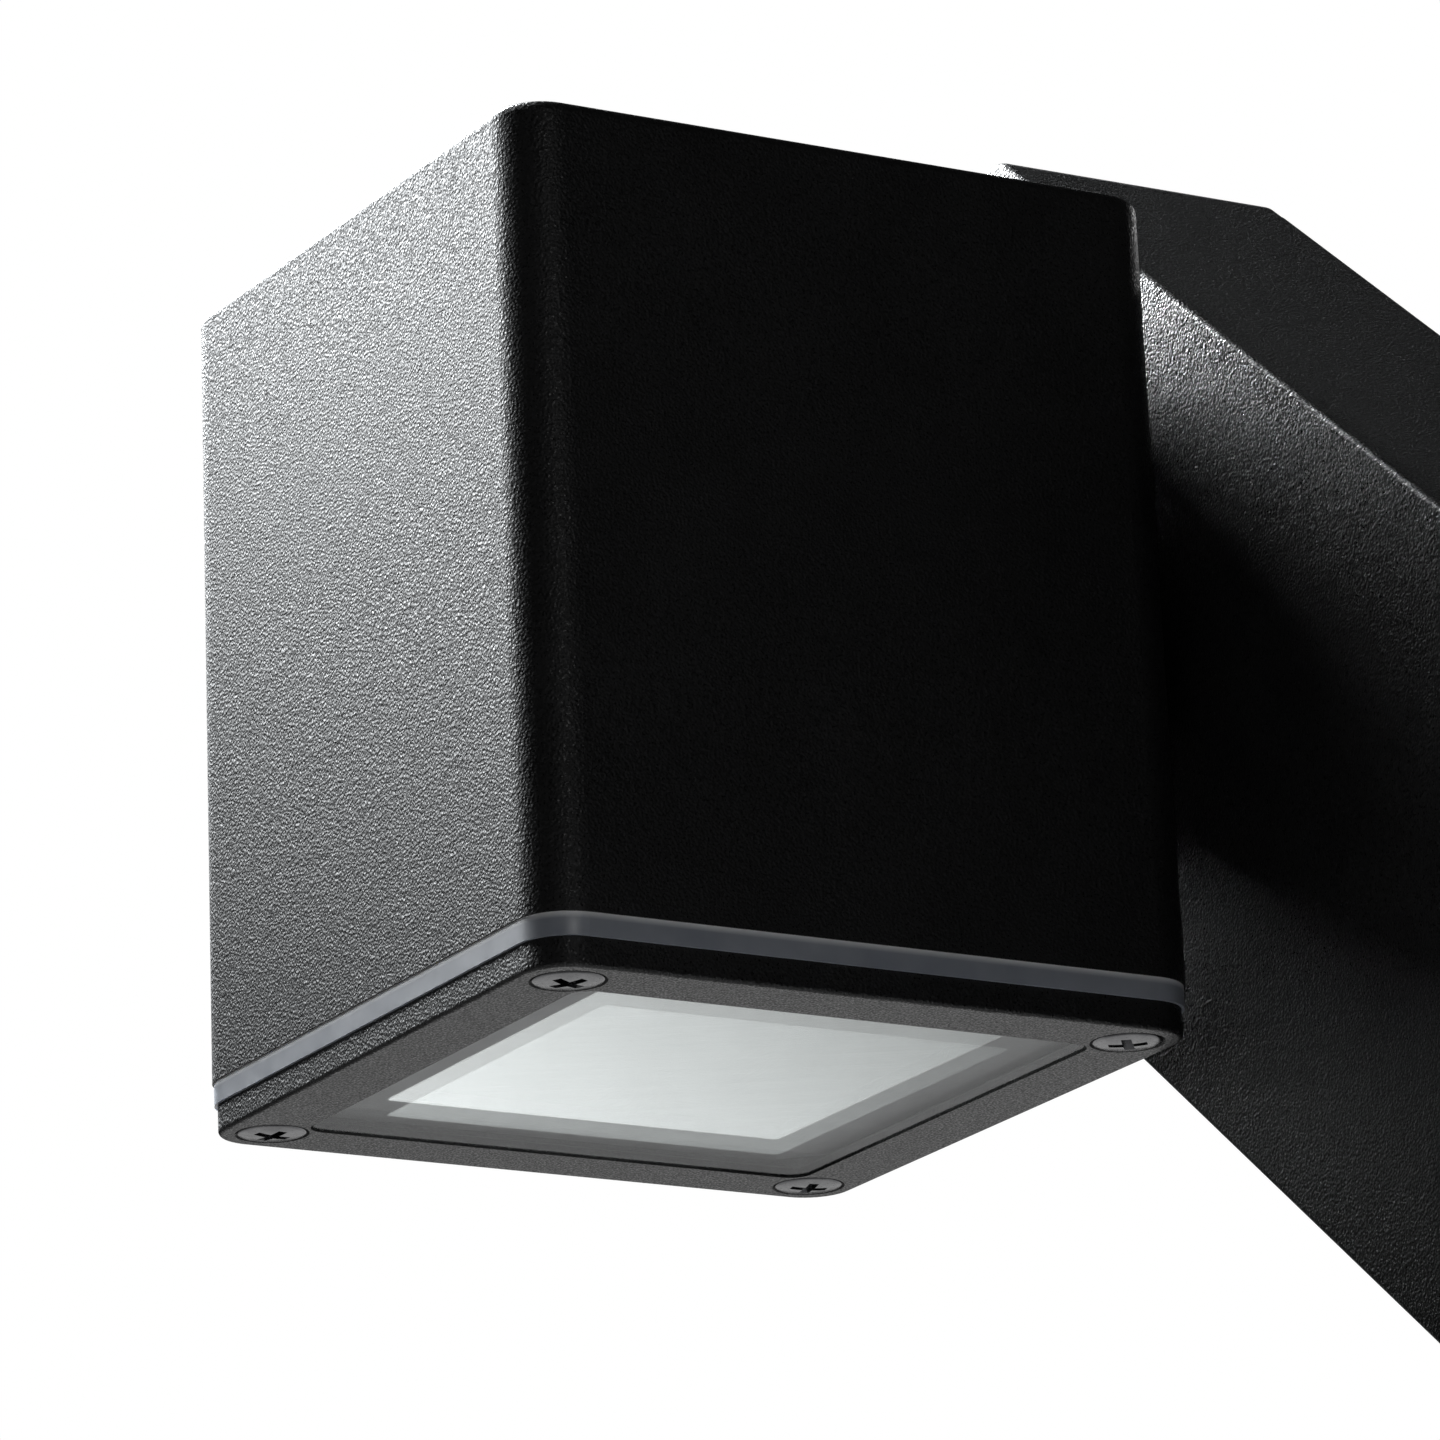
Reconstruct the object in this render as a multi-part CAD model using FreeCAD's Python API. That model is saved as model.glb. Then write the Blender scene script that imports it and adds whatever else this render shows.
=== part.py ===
"""Outdoor wall lantern: a square cast head that swivels on the front of a flat cast wall box.

Millimetres, +Z up.  The origin is the centre of the wall box's back, on the wall plane Y = 0, and the
lantern stands out from the wall towards -Y.  The swivel axis is parallel to Y.

Two working frames are used and each has one function that carries its pieces into place:
  head frame: centred on the head's square plan, Z up from the underside of the cover frame;
  wall frame: X across the wall box, Y along it towards its upper end, Z out from the wall.
"""

import FreeCAD, Part
import math
import os

from FreeCAD import Vector

# ---------------------------------------------------------------------------------------------------
# Driving dimensions
# ---------------------------------------------------------------------------------------------------
# Head casting
HEAD_WIDTH = 80.0              # across the head, X
HEAD_DEPTH = 80.0              # from the head's front face to its back face, Y
HEAD_HEIGHT = 94.4             # from the underside of the cover frame to the roof
HEAD_CORNER_RADIUS = 5.6
HEAD_DRAFT = 0.46              # each side leans in by this much from the rim to the roof
HEAD_ROOF_FILLET = 1.2
HEAD_WALL = 2.6
HEAD_ROOF = 3.0
HEAD_BOSS_RADIUS = 5.0
HEAD_BOSS_LENGTH = 28.0

# Cover frame and its gasket
COVER_THICKNESS = 3.25
COVER_INSET = 0.55             # cover frame and gasket sit this far inside the head's outline
COVER_EDGE_FILLET = 0.5
COVER_GASKET_THICKNESS = 2.5
COVER_GASKET_INSET = 0.2
COVER_SCREW_INSET = 6.2        # from the head's outline to each screw axis

# Glass, its seal and the diffuser
WINDOW_BORDER = 8.7            # from the head's outline to the window opening
WINDOW_CORNER_RADIUS = 2.4
GLASS_CLEARANCE = 0.3
GLASS_RECESS = 0.2             # the glass stops this far short of the cover's underside
GLASS_STEP_HEIGHT = 1.0        # the part of the pane that fills the window
GLASS_FLANGE_HEIGHT = 1.2
GLASS_FLANGE_WIDTH = 1.8       # the flange reaches this far past the window
GLASS_FLANGE_CUT = 4.4         # the flange's corners are cut off to clear the screws
SEAL_THICKNESS = 1.5
DIFFUSER_BORDER = 6.6          # from the window opening to the diffuser's edge
DIFFUSER_CLEARANCE = 0.2
DIFFUSER_CORNER_RADIUS = 0.8

# Reflector, light board and heat sink
REFLECTOR_HEIGHT = 24.0
REFLECTOR_WALL = 1.2
REFLECTOR_RIM = 3.0            # flat rim that presses on the seal
BOARD_SIZE = 40.0
BOARD_THICKNESS = 1.6
BOARD_HOLE_INSET = 3.6
CHIP_SIZE = 3.5
CHIP_HEIGHT = 0.7
CHIP_PITCH = 5.5
CHIPS_PER_SIDE = 3
SINK_CORE = 16.0
SINK_FIN_THICKNESS = 2.0
SINK_FIN_PITCH = 5.0
SINK_BASE_THICKNESS = 4.0
SINK_SCREW_OFFSET = 11.0       # from the head's centre line to each heat sink screw
SINK_SCREW_GRIP = 10.0         # length that bites into the roof boss
SINK_BOSS_RADIUS = 4.0
SINK_BOSS_LENGTH = 12.0

# Wall box
BOX_WIDTH = 73.0
BOX_LENGTH = 170.0
BOX_DEPTH = 36.5
BOX_CORNER_RADIUS = 4.5
BOX_FRONT_FILLET = 0.8
BOX_BACK_FILLET = 0.7
BOX_WALL = 2.6
BOX_FRONT_WALL = 3.6
BOX_LEAN = 50.6                # the box's long axis leans this many degrees from upright

# Swivel
PIVOT_FROM_TOP = 26.1          # from the head's roof, and from the box's upper end, to the swivel axis
SWIVEL_GAP = 1.6               # between the wall box's front and the head's back
SPINDLE_RADIUS = 8.0
SPINDLE_BORE_RADIUS = 4.5
SPINDLE_FLANGE_RADIUS = 12.0
SPINDLE_FLANGE_THICKNESS = 2.5
SPINDLE_CLEARANCE = 0.06       # running clearance round the spindle
SPINDLE_FLAT = 1.0             # depth of the flat that keeps the spindle from turning in the box
FACE_CLEARANCE = 0.05          # running clearance between flat swivel faces
FRICTION_RING_RADIUS = 13.0
THRUST_RING_RADIUS = 12.5
THRUST_RING_THICKNESS = 1.2
SPRING_HEIGHT = 1.8
SPRING_THICKNESS = 0.8
NUT_ACROSS_FLATS = 24.0
NUT_THICKNESS = 5.0
SPINDLE_END = 1.5              # spindle showing past the nut
STOP_PIN_RADIUS = 2.0
STOP_PIN_ORBIT = 16.0
STOP_PIN_ENTRY = 1.9           # how far the pin reaches into the wall box's groove
STOP_GROOVE_DEPTH = 2.2
STOP_CLEARANCE = 0.3
SWING = 90.0                   # the head turns this far each way from in line with the wall box
WEATHER_RING_INNER = 19.4
WEATHER_RING_OUTER = 22.4

# Wall plate, wall gasket and the end screws
WALL_GASKET_THICKNESS = 1.5
WALL_GASKET_INSET = 0.8
WALL_GASKET_WIDTH = 3.6
PLATE_THICKNESS = 2.0
PLATE_CLEARANCE = 1.0          # all round, inside the wall gasket
PLATE_CORNER_RADIUS = 3.0
EAR_WIDTH = 18.0
EAR_HEIGHT = 16.0
END_SCREW_HEIGHT = 9.0         # from the wall to the end screws' axes
END_SCREW_LENGTH = 9.0
WALL_HOLE_SPACING = 110.0
WALL_HOLE_RADIUS = 2.6
CABLE_HOLE_RADIUS = 8.0
GROMMET_LIP = 1.8
GROMMET_BORE_RADIUS = 4.0

# Driver, terminals and clamp
DRIVER_WIDTH = 40.0
DRIVER_LENGTH = 56.0
DRIVER_GAP = 1.5               # between the driver's back and the cable clamp's screw heads
DRIVER_FROM_BOTTOM = 12.0
DRIVER_EAR = 8.0
DRIVER_EAR_THICKNESS = 2.5
TERMINAL_WIDTH = 30.0
TERMINAL_LENGTH = 16.0
TERMINAL_HEIGHT = 13.0
TERMINAL_FROM_CENTRE = 6.0     # from the wall box's centre up to the terminal block's lower edge
TERMINAL_POLES = 3
TERMINAL_SCREW_RADIUS = 1.6
CLAMP_WIDTH = 30.0
CLAMP_LENGTH = 8.0
CLAMP_THICKNESS = 3.0
CLAMP_FROM_CENTRE = 20.0       # from the wall box's centre down to the clamp's centre line
CLAMP_CABLE_HEIGHT = 7.0
EARTH_FROM_CENTRE = 34.0       # from the wall box's centre up to the earth screw
STANDOFF_RADIUS = 4.0

# Screws: shank radius, head radius, head height, cross recess length
M4 = dict(shank=2.0, head=3.85, height=2.3, recess=4.5)
M3 = dict(shank=1.5, head=2.9, height=1.9, recess=3.2)
COUNTERSINK_CLEARANCE = 0.25
HOLE_CLEARANCE = 0.2
THREAD_CLEARANCE = 0.05
RECESS_WIDTH = 1.0
RECESS_DEPTH = 1.3
COVER_SCREW_LENGTH = 14.0
OVAL_RISE = 0.45               # dome of the cover screws' raised heads
TIP_GAP = 1.0                  # a tapped hole runs this far past its screw

# ---------------------------------------------------------------------------------------------------
# Places worked out from the driving dimensions
# ---------------------------------------------------------------------------------------------------
COVER_TOP = COVER_THICKNESS
RIM_HEIGHT = COVER_TOP + COVER_GASKET_THICKNESS
ROOF_INSIDE = HEAD_HEIGHT - HEAD_ROOF
SCREW_X = HEAD_WIDTH / 2 - COVER_SCREW_INSET
SCREW_Y = HEAD_DEPTH / 2 - COVER_SCREW_INSET
WINDOW_X = HEAD_WIDTH - 2 * WINDOW_BORDER
WINDOW_Y = HEAD_DEPTH - 2 * WINDOW_BORDER
DIFFUSER_X = WINDOW_X - 2 * DIFFUSER_BORDER
DIFFUSER_Y = WINDOW_Y - 2 * DIFFUSER_BORDER
LEDGE_HEIGHT = GLASS_RECESS + GLASS_STEP_HEIGHT
GLASS_TOP = LEDGE_HEIGHT + GLASS_FLANGE_HEIGHT
SEAL_TOP = GLASS_TOP + SEAL_THICKNESS
BOARD_BOTTOM = SEAL_TOP + REFLECTOR_HEIGHT
SINK_BOTTOM = BOARD_BOTTOM + BOARD_THICKNESS
SINK_TOP = ROOF_INSIDE - SINK_BOSS_LENGTH
PIVOT_HEIGHT = HEAD_HEIGHT - PIVOT_FROM_TOP

BOX_BACK = WALL_GASKET_THICKNESS
BOX_FRONT = BOX_BACK + BOX_DEPTH
BOX_FRONT_INSIDE = BOX_FRONT - BOX_FRONT_WALL
PIVOT_ALONG = BOX_LENGTH / 2 - PIVOT_FROM_TOP
HEAD_BACK = BOX_FRONT + SWIVEL_GAP
HEAD_INSIDE = HEAD_BACK + HEAD_WALL
HEAD_CENTRE_DEPTH = HEAD_BACK + HEAD_DEPTH / 2
PLATE_X = BOX_WIDTH - 2 * (WALL_GASKET_INSET + WALL_GASKET_WIDTH + PLATE_CLEARANCE)
PLATE_Y = BOX_LENGTH - 2 * (WALL_GASKET_INSET + WALL_GASKET_WIDTH + PLATE_CLEARANCE)
CLAMP_TOP = PLATE_THICKNESS + CLAMP_CABLE_HEIGHT + CLAMP_THICKNESS + M3["height"]
DRIVER_HEIGHT = BOX_FRONT_INSIDE - CLAMP_TOP - DRIVER_GAP


# ---------------------------------------------------------------------------------------------------
# Shared shapes
# ---------------------------------------------------------------------------------------------------
def rounded_outline(width, length, radius, height):
    """Closed wire of a rectangle with round corners, centred on the Z axis."""
    a = width / 2
    b = length / 2
    turn = radius * math.sqrt(0.5)
    corners = [(1, 1), (-1, 1), (-1, -1), (1, -1)]
    edges = []
    for index, (sx, sy) in enumerate(corners):
        centre = Vector(sx * (a - radius), sy * (b - radius), height)
        along_x = centre + Vector(sx * radius, 0, 0)
        along_y = centre + Vector(0, sy * radius, 0)
        start, end = (along_x, along_y) if index % 2 == 0 else (along_y, along_x)
        middle = centre + Vector(sx * turn, sy * turn, 0)
        if edges:
            edges.append(Part.LineSegment(last, start).toShape())
        else:
            first = start
        edges.append(Part.Arc(start, middle, end).toShape())
        last = end
    edges.append(Part.LineSegment(last, first).toShape())
    return Part.Wire(edges)


def rounded_block(width, length, radius, bottom, top):
    """Upright block with round vertical corners."""
    face = Part.Face(rounded_outline(width, length, radius, bottom))
    return face.extrude(Vector(0, 0, top - bottom))


def cut_corner_block(width, length, cut, bottom, top):
    """Upright block with its vertical corners cut off flat."""
    a = width / 2
    b = length / 2
    points = [Vector(a, b - cut, bottom), Vector(a - cut, b, bottom), Vector(cut - a, b, bottom),
              Vector(-a, b - cut, bottom), Vector(-a, cut - b, bottom), Vector(cut - a, -b, bottom),
              Vector(a - cut, -b, bottom), Vector(a, cut - b, bottom)]
    outline = Part.makePolygon(points + [points[0]])
    return Part.Face(outline).extrude(Vector(0, 0, top - bottom))


def rod(radius, bottom, top, x=0.0, y=0.0):
    """Upright cylinder from bottom to top at x, y."""
    return Part.makeCylinder(radius, top - bottom, Vector(x, y, bottom))


def ring(outer, inner, bottom, top, x=0.0, y=0.0):
    """Upright tube or washer."""
    return rod(outer, bottom, top, x, y).cut(rod(inner, bottom, top, x, y))


def block(width, length, bottom, top, x=0.0, y=0.0):
    """Upright square-cornered block centred on x, y."""
    return Part.makeBox(width, length, top - bottom, Vector(x - width / 2, y - length / 2, bottom))


def join(shapes):
    """One solid from shapes that overlap."""
    body = shapes[0]
    if len(shapes) > 1:
        body = body.multiFuse(shapes[1:])
    return body.removeSplitter()


def revolve(points):
    """Solid of revolution about Z from (radius, height) points."""
    corners = [Vector(radius, 0, height) for radius, height in points]
    face = Part.Face(Part.makePolygon(corners + [corners[0]]))
    return face.revolve(Vector(0, 0, 0), Vector(0, 0, 1), 360)


def cross_recess(size, surface):
    """Cross-shaped driver recess that goes up from a head's surface."""
    length = size["recess"]
    wings = block(length, RECESS_WIDTH, surface, surface + RECESS_DEPTH)
    wings = wings.fuse(block(RECESS_WIDTH, length, surface, surface + RECESS_DEPTH))
    return wings.fuse(Part.makeCone(length / 4, RECESS_WIDTH / 4, RECESS_DEPTH, Vector(0, 0, surface)))


def pan_screw(size, length):
    """Pan head screw, its head below Z = 0 and its shank above."""
    head = rod(size["head"], -size["height"], 0)
    rim = [edge for edge in head.Edges if edge.BoundBox.ZMax < -size["height"] / 2]
    head = head.makeFillet(size["height"] * 0.4, rim)
    screw = head.fuse(rod(size["shank"], 0, length)).removeSplitter()
    return screw.cut(cross_recess(size, -size["height"]))


def oval_screw(size, length):
    """Countersunk screw with a raised head: the head's edge is at Z = 0 and its dome goes below."""
    head = size["head"]
    shank = size["shank"]
    dome_radius = (head * head + OVAL_RISE * OVAL_RISE) / (2 * OVAL_RISE)
    dome = Part.makeSphere(dome_radius, Vector(0, 0, dome_radius - OVAL_RISE))
    dome = dome.common(rod(head, -OVAL_RISE, 0))
    cone = Part.makeCone(head, shank, size["height"])
    screw = join([dome, cone, rod(shank, 0, length)])
    return screw.cut(cross_recess(size, -OVAL_RISE))


def placed(shape, x, y, z=0.0):
    """Copy of a shape moved to x, y, z."""
    copy = shape.copy()
    copy.translate(Vector(x, y, z))
    return copy


def corner_places(x, y):
    """The four corners of a rectangle of half sizes x and y."""
    return [(x, y), (-x, y), (-x, -y), (x, -y)]


def in_head(shape):
    """Carry a shape from the head frame to the lantern."""
    lean = math.radians(BOX_LEAN)
    pivot_x = -PIVOT_ALONG * math.sin(lean)
    pivot_z = PIVOT_ALONG * math.cos(lean)
    return placed(shape, pivot_x, -HEAD_CENTRE_DEPTH, pivot_z - PIVOT_HEIGHT)


def in_wall(shape):
    """Carry a shape from the wall frame to the lantern."""
    copy = shape.copy()
    copy.rotate(Vector(0, 0, 0), Vector(1, 0, 0), 90)
    copy.rotate(Vector(0, 0, 0), Vector(0, 1, 0), -BOX_LEAN)
    return copy


def from_wall_to_head(shape):
    """Carry a swivel shape, drawn on the swivel axis with Z out from the wall, to the head frame."""
    copy = shape.copy()
    copy.rotate(Vector(0, 0, 0), Vector(1, 0, 0), 90)
    copy.translate(Vector(0, HEAD_CENTRE_DEPTH, PIVOT_HEIGHT))
    return copy


def on_pivot(shape):
    """Move a shape drawn on the Z axis to the swivel axis of the wall frame."""
    return placed(shape, 0, PIVOT_ALONG)


# ---------------------------------------------------------------------------------------------------
# Head
# ---------------------------------------------------------------------------------------------------
def make_head_housing():
    """Cast head: drafted square shell, open below, with screw bosses and the swivel bore."""
    lower = rounded_outline(HEAD_WIDTH, HEAD_DEPTH, HEAD_CORNER_RADIUS, RIM_HEIGHT)
    upper = rounded_outline(HEAD_WIDTH - 2 * HEAD_DRAFT, HEAD_DEPTH - 2 * HEAD_DRAFT,
                            HEAD_CORNER_RADIUS, HEAD_HEIGHT)
    shell = Part.makeLoft([lower, upper], True, True)
    roof_edges = [edge for edge in shell.Edges if edge.BoundBox.ZMin > HEAD_HEIGHT - 0.01]
    shell = shell.makeFillet(HEAD_ROOF_FILLET, roof_edges)
    inner_x = HEAD_WIDTH - 2 * HEAD_WALL
    inner_y = HEAD_DEPTH - 2 * HEAD_WALL
    inner_radius = HEAD_CORNER_RADIUS - HEAD_WALL
    cavity = rounded_block(inner_x, inner_y, inner_radius, RIM_HEIGHT, ROOF_INSIDE)
    shell = shell.cut(cavity)

    boss_top = RIM_HEIGHT + HEAD_BOSS_LENGTH
    bosses = [rod(HEAD_BOSS_RADIUS, RIM_HEIGHT, boss_top, x, y) for x, y in corner_places(SCREW_X, SCREW_Y)]
    envelope = rounded_block(inner_x + HEAD_WALL, inner_y + HEAD_WALL, inner_radius, RIM_HEIGHT, boss_top)
    bosses = [boss.common(envelope) for boss in bosses]
    posts = [rod(SINK_BOSS_RADIUS, SINK_TOP, ROOF_INSIDE + HEAD_ROOF / 2, x, 0)
             for x in (SINK_SCREW_OFFSET, -SINK_SCREW_OFFSET)]
    body = join([shell] + bosses + posts)

    cover_hole_depth = COVER_SCREW_LENGTH + TIP_GAP
    for x, y in corner_places(SCREW_X, SCREW_Y):
        body = body.cut(rod(M4["shank"] + THREAD_CLEARANCE, 0, cover_hole_depth, x, y))
    for x in (SINK_SCREW_OFFSET, -SINK_SCREW_OFFSET):
        top = SINK_TOP + SINK_SCREW_GRIP + TIP_GAP
        body = body.cut(rod(M3["shank"] + THREAD_CLEARANCE, SINK_TOP, top, x, 0))
    bore = rod(SPINDLE_RADIUS + SPINDLE_CLEARANCE, HEAD_BACK - 2, HEAD_INSIDE + 2)
    pin_hole = rod(STOP_PIN_RADIUS, HEAD_BACK - 2, HEAD_INSIDE, 0, STOP_PIN_ORBIT)
    return body.cut(from_wall_to_head(bore)).cut(from_wall_to_head(pin_hole))


def make_cover_gasket():
    """Clear silicone gasket between the head's rim and the cover frame."""
    inset = 2 * COVER_GASKET_INSET
    radius = HEAD_CORNER_RADIUS - COVER_GASKET_INSET
    body = rounded_block(HEAD_WIDTH - inset, HEAD_DEPTH - inset, radius, COVER_TOP, RIM_HEIGHT)
    reach = 2 * (GLASS_FLANGE_WIDTH + GLASS_CLEARANCE)
    body = body.cut(cut_corner_block(WINDOW_X + reach, WINDOW_Y + reach, GLASS_FLANGE_CUT,
                                     COVER_TOP, RIM_HEIGHT))
    for x, y in corner_places(SCREW_X, SCREW_Y):
        body = body.cut(rod(M4["shank"] + HOLE_CLEARANCE, COVER_TOP, RIM_HEIGHT, x, y))
    return body


def make_cover_frame():
    """Cast frame under the head that holds the glass, with four countersunk holes."""
    inset = 2 * COVER_INSET
    radius = HEAD_CORNER_RADIUS - COVER_INSET
    body = rounded_block(HEAD_WIDTH - inset, HEAD_DEPTH - inset, radius, 0, COVER_TOP)
    lower_edges = [edge for edge in body.Edges if edge.BoundBox.ZMax < 0.01]
    body = body.makeFillet(COVER_EDGE_FILLET, lower_edges)
    body = body.cut(rounded_block(WINDOW_X, WINDOW_Y, WINDOW_CORNER_RADIUS, 0, COVER_TOP))
    reach = 2 * (GLASS_FLANGE_WIDTH + GLASS_CLEARANCE)
    body = body.cut(cut_corner_block(WINDOW_X + reach, WINDOW_Y + reach, GLASS_FLANGE_CUT,
                                     LEDGE_HEIGHT, COVER_TOP))
    top_radius = M4["head"] + COUNTERSINK_CLEARANCE
    hole_radius = M4["shank"] + HOLE_CLEARANCE
    countersink = Part.makeCone(top_radius, hole_radius, M4["height"])
    for x, y in corner_places(SCREW_X, SCREW_Y):
        body = body.cut(rod(hole_radius, 0, COVER_TOP, x, y))
        body = body.cut(placed(countersink, x, y))
    return body


def make_cover_screws():
    """Four raised countersunk screws that hold the cover frame."""
    screw = oval_screw(M4, COVER_SCREW_LENGTH)
    return [placed(screw, x, y) for x, y in corner_places(SCREW_X, SCREW_Y)]


def make_glass_pane():
    """Stepped glass: its lower step fills the window and its flange sits on the frame's ledge."""
    gap = 2 * GLASS_CLEARANCE
    step = rounded_block(WINDOW_X - gap, WINDOW_Y - gap, WINDOW_CORNER_RADIUS - GLASS_CLEARANCE,
                         GLASS_RECESS, LEDGE_HEIGHT)
    reach = 2 * GLASS_FLANGE_WIDTH
    flange = cut_corner_block(WINDOW_X + reach, WINDOW_Y + reach, GLASS_FLANGE_CUT,
                              LEDGE_HEIGHT, GLASS_TOP)
    return join([step, flange])


def make_glass_seal():
    """Grey silicone frame that presses the glass down, open in the middle for the diffuser."""
    reach = 2 * GLASS_FLANGE_WIDTH
    body = cut_corner_block(WINDOW_X + reach, WINDOW_Y + reach, GLASS_FLANGE_CUT, GLASS_TOP, SEAL_TOP)
    return body.cut(rounded_block(DIFFUSER_X, DIFFUSER_Y, DIFFUSER_CORNER_RADIUS, GLASS_TOP, SEAL_TOP))


def make_diffuser_panel():
    """Opal panel that lies on the glass inside the seal."""
    gap = 2 * DIFFUSER_CLEARANCE
    return rounded_block(DIFFUSER_X - gap, DIFFUSER_Y - gap, DIFFUSER_CORNER_RADIUS - DIFFUSER_CLEARANCE,
                         GLASS_TOP, SEAL_TOP)


def make_reflector_box():
    """White funnel between the light board and the diffuser, with a flat rim on the seal."""
    wall = 2 * REFLECTOR_WALL
    radius = WINDOW_CORNER_RADIUS
    rim_top = SEAL_TOP + REFLECTOR_WALL
    rim = rounded_block(DIFFUSER_X + 2 * REFLECTOR_RIM, DIFFUSER_Y + 2 * REFLECTOR_RIM, radius,
                        SEAL_TOP, rim_top)
    outer = Part.makeLoft([rounded_outline(DIFFUSER_X + wall, DIFFUSER_Y + wall, radius, SEAL_TOP),
                           rounded_outline(BOARD_SIZE, BOARD_SIZE, radius, BOARD_BOTTOM)], True, True)
    inner = Part.makeLoft([rounded_outline(DIFFUSER_X, DIFFUSER_Y, radius, SEAL_TOP),
                           rounded_outline(BOARD_SIZE - wall, BOARD_SIZE - wall, radius, BOARD_BOTTOM)],
                          True, True)
    body = join([rim, outer]).cut(inner)
    room = M3["head"] + HOLE_CLEARANCE
    place = BOARD_SIZE / 2 - BOARD_HOLE_INSET
    for x, y in corner_places(place, place):
        body = body.cut(rod(room, BOARD_BOTTOM - M3["height"] - HOLE_CLEARANCE, BOARD_BOTTOM, x, y))
    return body


def make_led_board():
    """Light board screwed under the heat sink."""
    body = block(BOARD_SIZE, BOARD_SIZE, BOARD_BOTTOM, SINK_BOTTOM)
    place = BOARD_SIZE / 2 - BOARD_HOLE_INSET
    for x, y in corner_places(place, place):
        body = body.cut(rod(M3["shank"] + HOLE_CLEARANCE, BOARD_BOTTOM, SINK_BOTTOM, x, y))
    for x in (SINK_SCREW_OFFSET, -SINK_SCREW_OFFSET):
        body = body.cut(rod(M3["head"] + HOLE_CLEARANCE, BOARD_BOTTOM, SINK_BOTTOM, x, 0))
    return body


def make_led_chips():
    """Light-emitting chips in rows under the board, between the two long screws."""
    first = -CHIP_PITCH * (CHIPS_PER_SIDE - 1) / 2
    chips = []
    for row in range(CHIPS_PER_SIDE):
        for column in range(CHIPS_PER_SIDE):
            x = first + column * CHIP_PITCH
            y = first + row * CHIP_PITCH
            chips.append(block(CHIP_SIZE, CHIP_SIZE, BOARD_BOTTOM - CHIP_HEIGHT, BOARD_BOTTOM, x, y))
    return chips


def make_heat_sink():
    """Finned aluminium block that hangs from two roof bosses."""
    base_top = SINK_BOTTOM + SINK_BASE_THICKNESS
    base = block(BOARD_SIZE, BOARD_SIZE, SINK_BOTTOM, base_top)
    core = block(SINK_CORE + 2 * SINK_SCREW_OFFSET, SINK_CORE, SINK_BOTTOM, SINK_TOP)
    pieces = [base, core]
    count = int(BOARD_SIZE / 2 / SINK_FIN_PITCH)
    for index in range(-count + 1, count):
        x = index * SINK_FIN_PITCH
        pieces.append(block(SINK_FIN_THICKNESS, BOARD_SIZE, SINK_BOTTOM, SINK_TOP, x, 0))
    body = join(pieces)
    for x in (SINK_SCREW_OFFSET, -SINK_SCREW_OFFSET):
        body = body.cut(rod(M3["shank"] + HOLE_CLEARANCE, SINK_BOTTOM, SINK_TOP, x, 0))
    place = BOARD_SIZE / 2 - BOARD_HOLE_INSET
    for x, y in corner_places(place, place):
        body = body.cut(rod(M3["shank"] + THREAD_CLEARANCE, SINK_BOTTOM, base_top, x, y))
    return body


def make_sink_screws():
    """Two long screws through the heat sink into the roof bosses."""
    screw = pan_screw(M3, SINK_TOP - SINK_BOTTOM + SINK_SCREW_GRIP)
    return [placed(screw, x, 0, SINK_BOTTOM) for x in (SINK_SCREW_OFFSET, -SINK_SCREW_OFFSET)]


def make_board_screws():
    """Four short screws that clamp the light board to the heat sink."""
    screw = pan_screw(M3, BOARD_THICKNESS + SINK_BASE_THICKNESS)
    place = BOARD_SIZE / 2 - BOARD_HOLE_INSET
    return [placed(screw, x, y, BOARD_BOTTOM) for x, y in corner_places(place, place)]


def make_stop_pin():
    """Steel pin pressed into the head's back, which runs in the wall box's groove."""
    pin = rod(STOP_PIN_RADIUS, BOX_FRONT - STOP_PIN_ENTRY, HEAD_INSIDE, 0, STOP_PIN_ORBIT)
    return from_wall_to_head(pin)


# ---------------------------------------------------------------------------------------------------
# Swivel, in the wall frame on the swivel axis
# ---------------------------------------------------------------------------------------------------
def spindle_section(radius, bottom, top):
    """Round bar with one flat, as the spindle and its hole in the wall box have."""
    bar = rod(radius, bottom, top)
    flat = block(2 * radius, 2 * radius, bottom, top, 0, 2 * radius - SPINDLE_FLAT)
    return bar.cut(flat)


def swivel_stack():
    """Heights, out from the wall, of the pieces that the nut clamps inside the head."""
    thrust = HEAD_INSIDE + FACE_CLEARANCE
    spring = thrust + THRUST_RING_THICKNESS
    nut = spring + SPRING_HEIGHT
    return thrust, spring, nut, nut + NUT_THICKNESS


def make_swivel_spindle():
    """Hollow spindle: its flange bears inside the wall box and its nut end is inside the head."""
    end = swivel_stack()[3] + SPINDLE_END
    flange = rod(SPINDLE_FLANGE_RADIUS, BOX_FRONT_INSIDE - SPINDLE_FLANGE_THICKNESS, BOX_FRONT_INSIDE)
    flatted = spindle_section(SPINDLE_RADIUS, BOX_FRONT_INSIDE, BOX_FRONT)
    body = join([flange, flatted, rod(SPINDLE_RADIUS, BOX_FRONT, end)])
    bore = rod(SPINDLE_BORE_RADIUS, BOX_FRONT_INSIDE - SPINDLE_FLANGE_THICKNESS, end)
    return on_pivot(body.cut(bore))


def make_friction_ring():
    """Nylon ring that the head turns against."""
    inner = SPINDLE_RADIUS + HOLE_CLEARANCE
    return on_pivot(ring(FRICTION_RING_RADIUS, inner, BOX_FRONT, HEAD_BACK - FACE_CLEARANCE))


def make_weather_ring():
    """Rubber ring round the swivel that keeps rain out of the groove."""
    return on_pivot(ring(WEATHER_RING_OUTER, WEATHER_RING_INNER, BOX_FRONT, HEAD_BACK - FACE_CLEARANCE))


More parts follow.
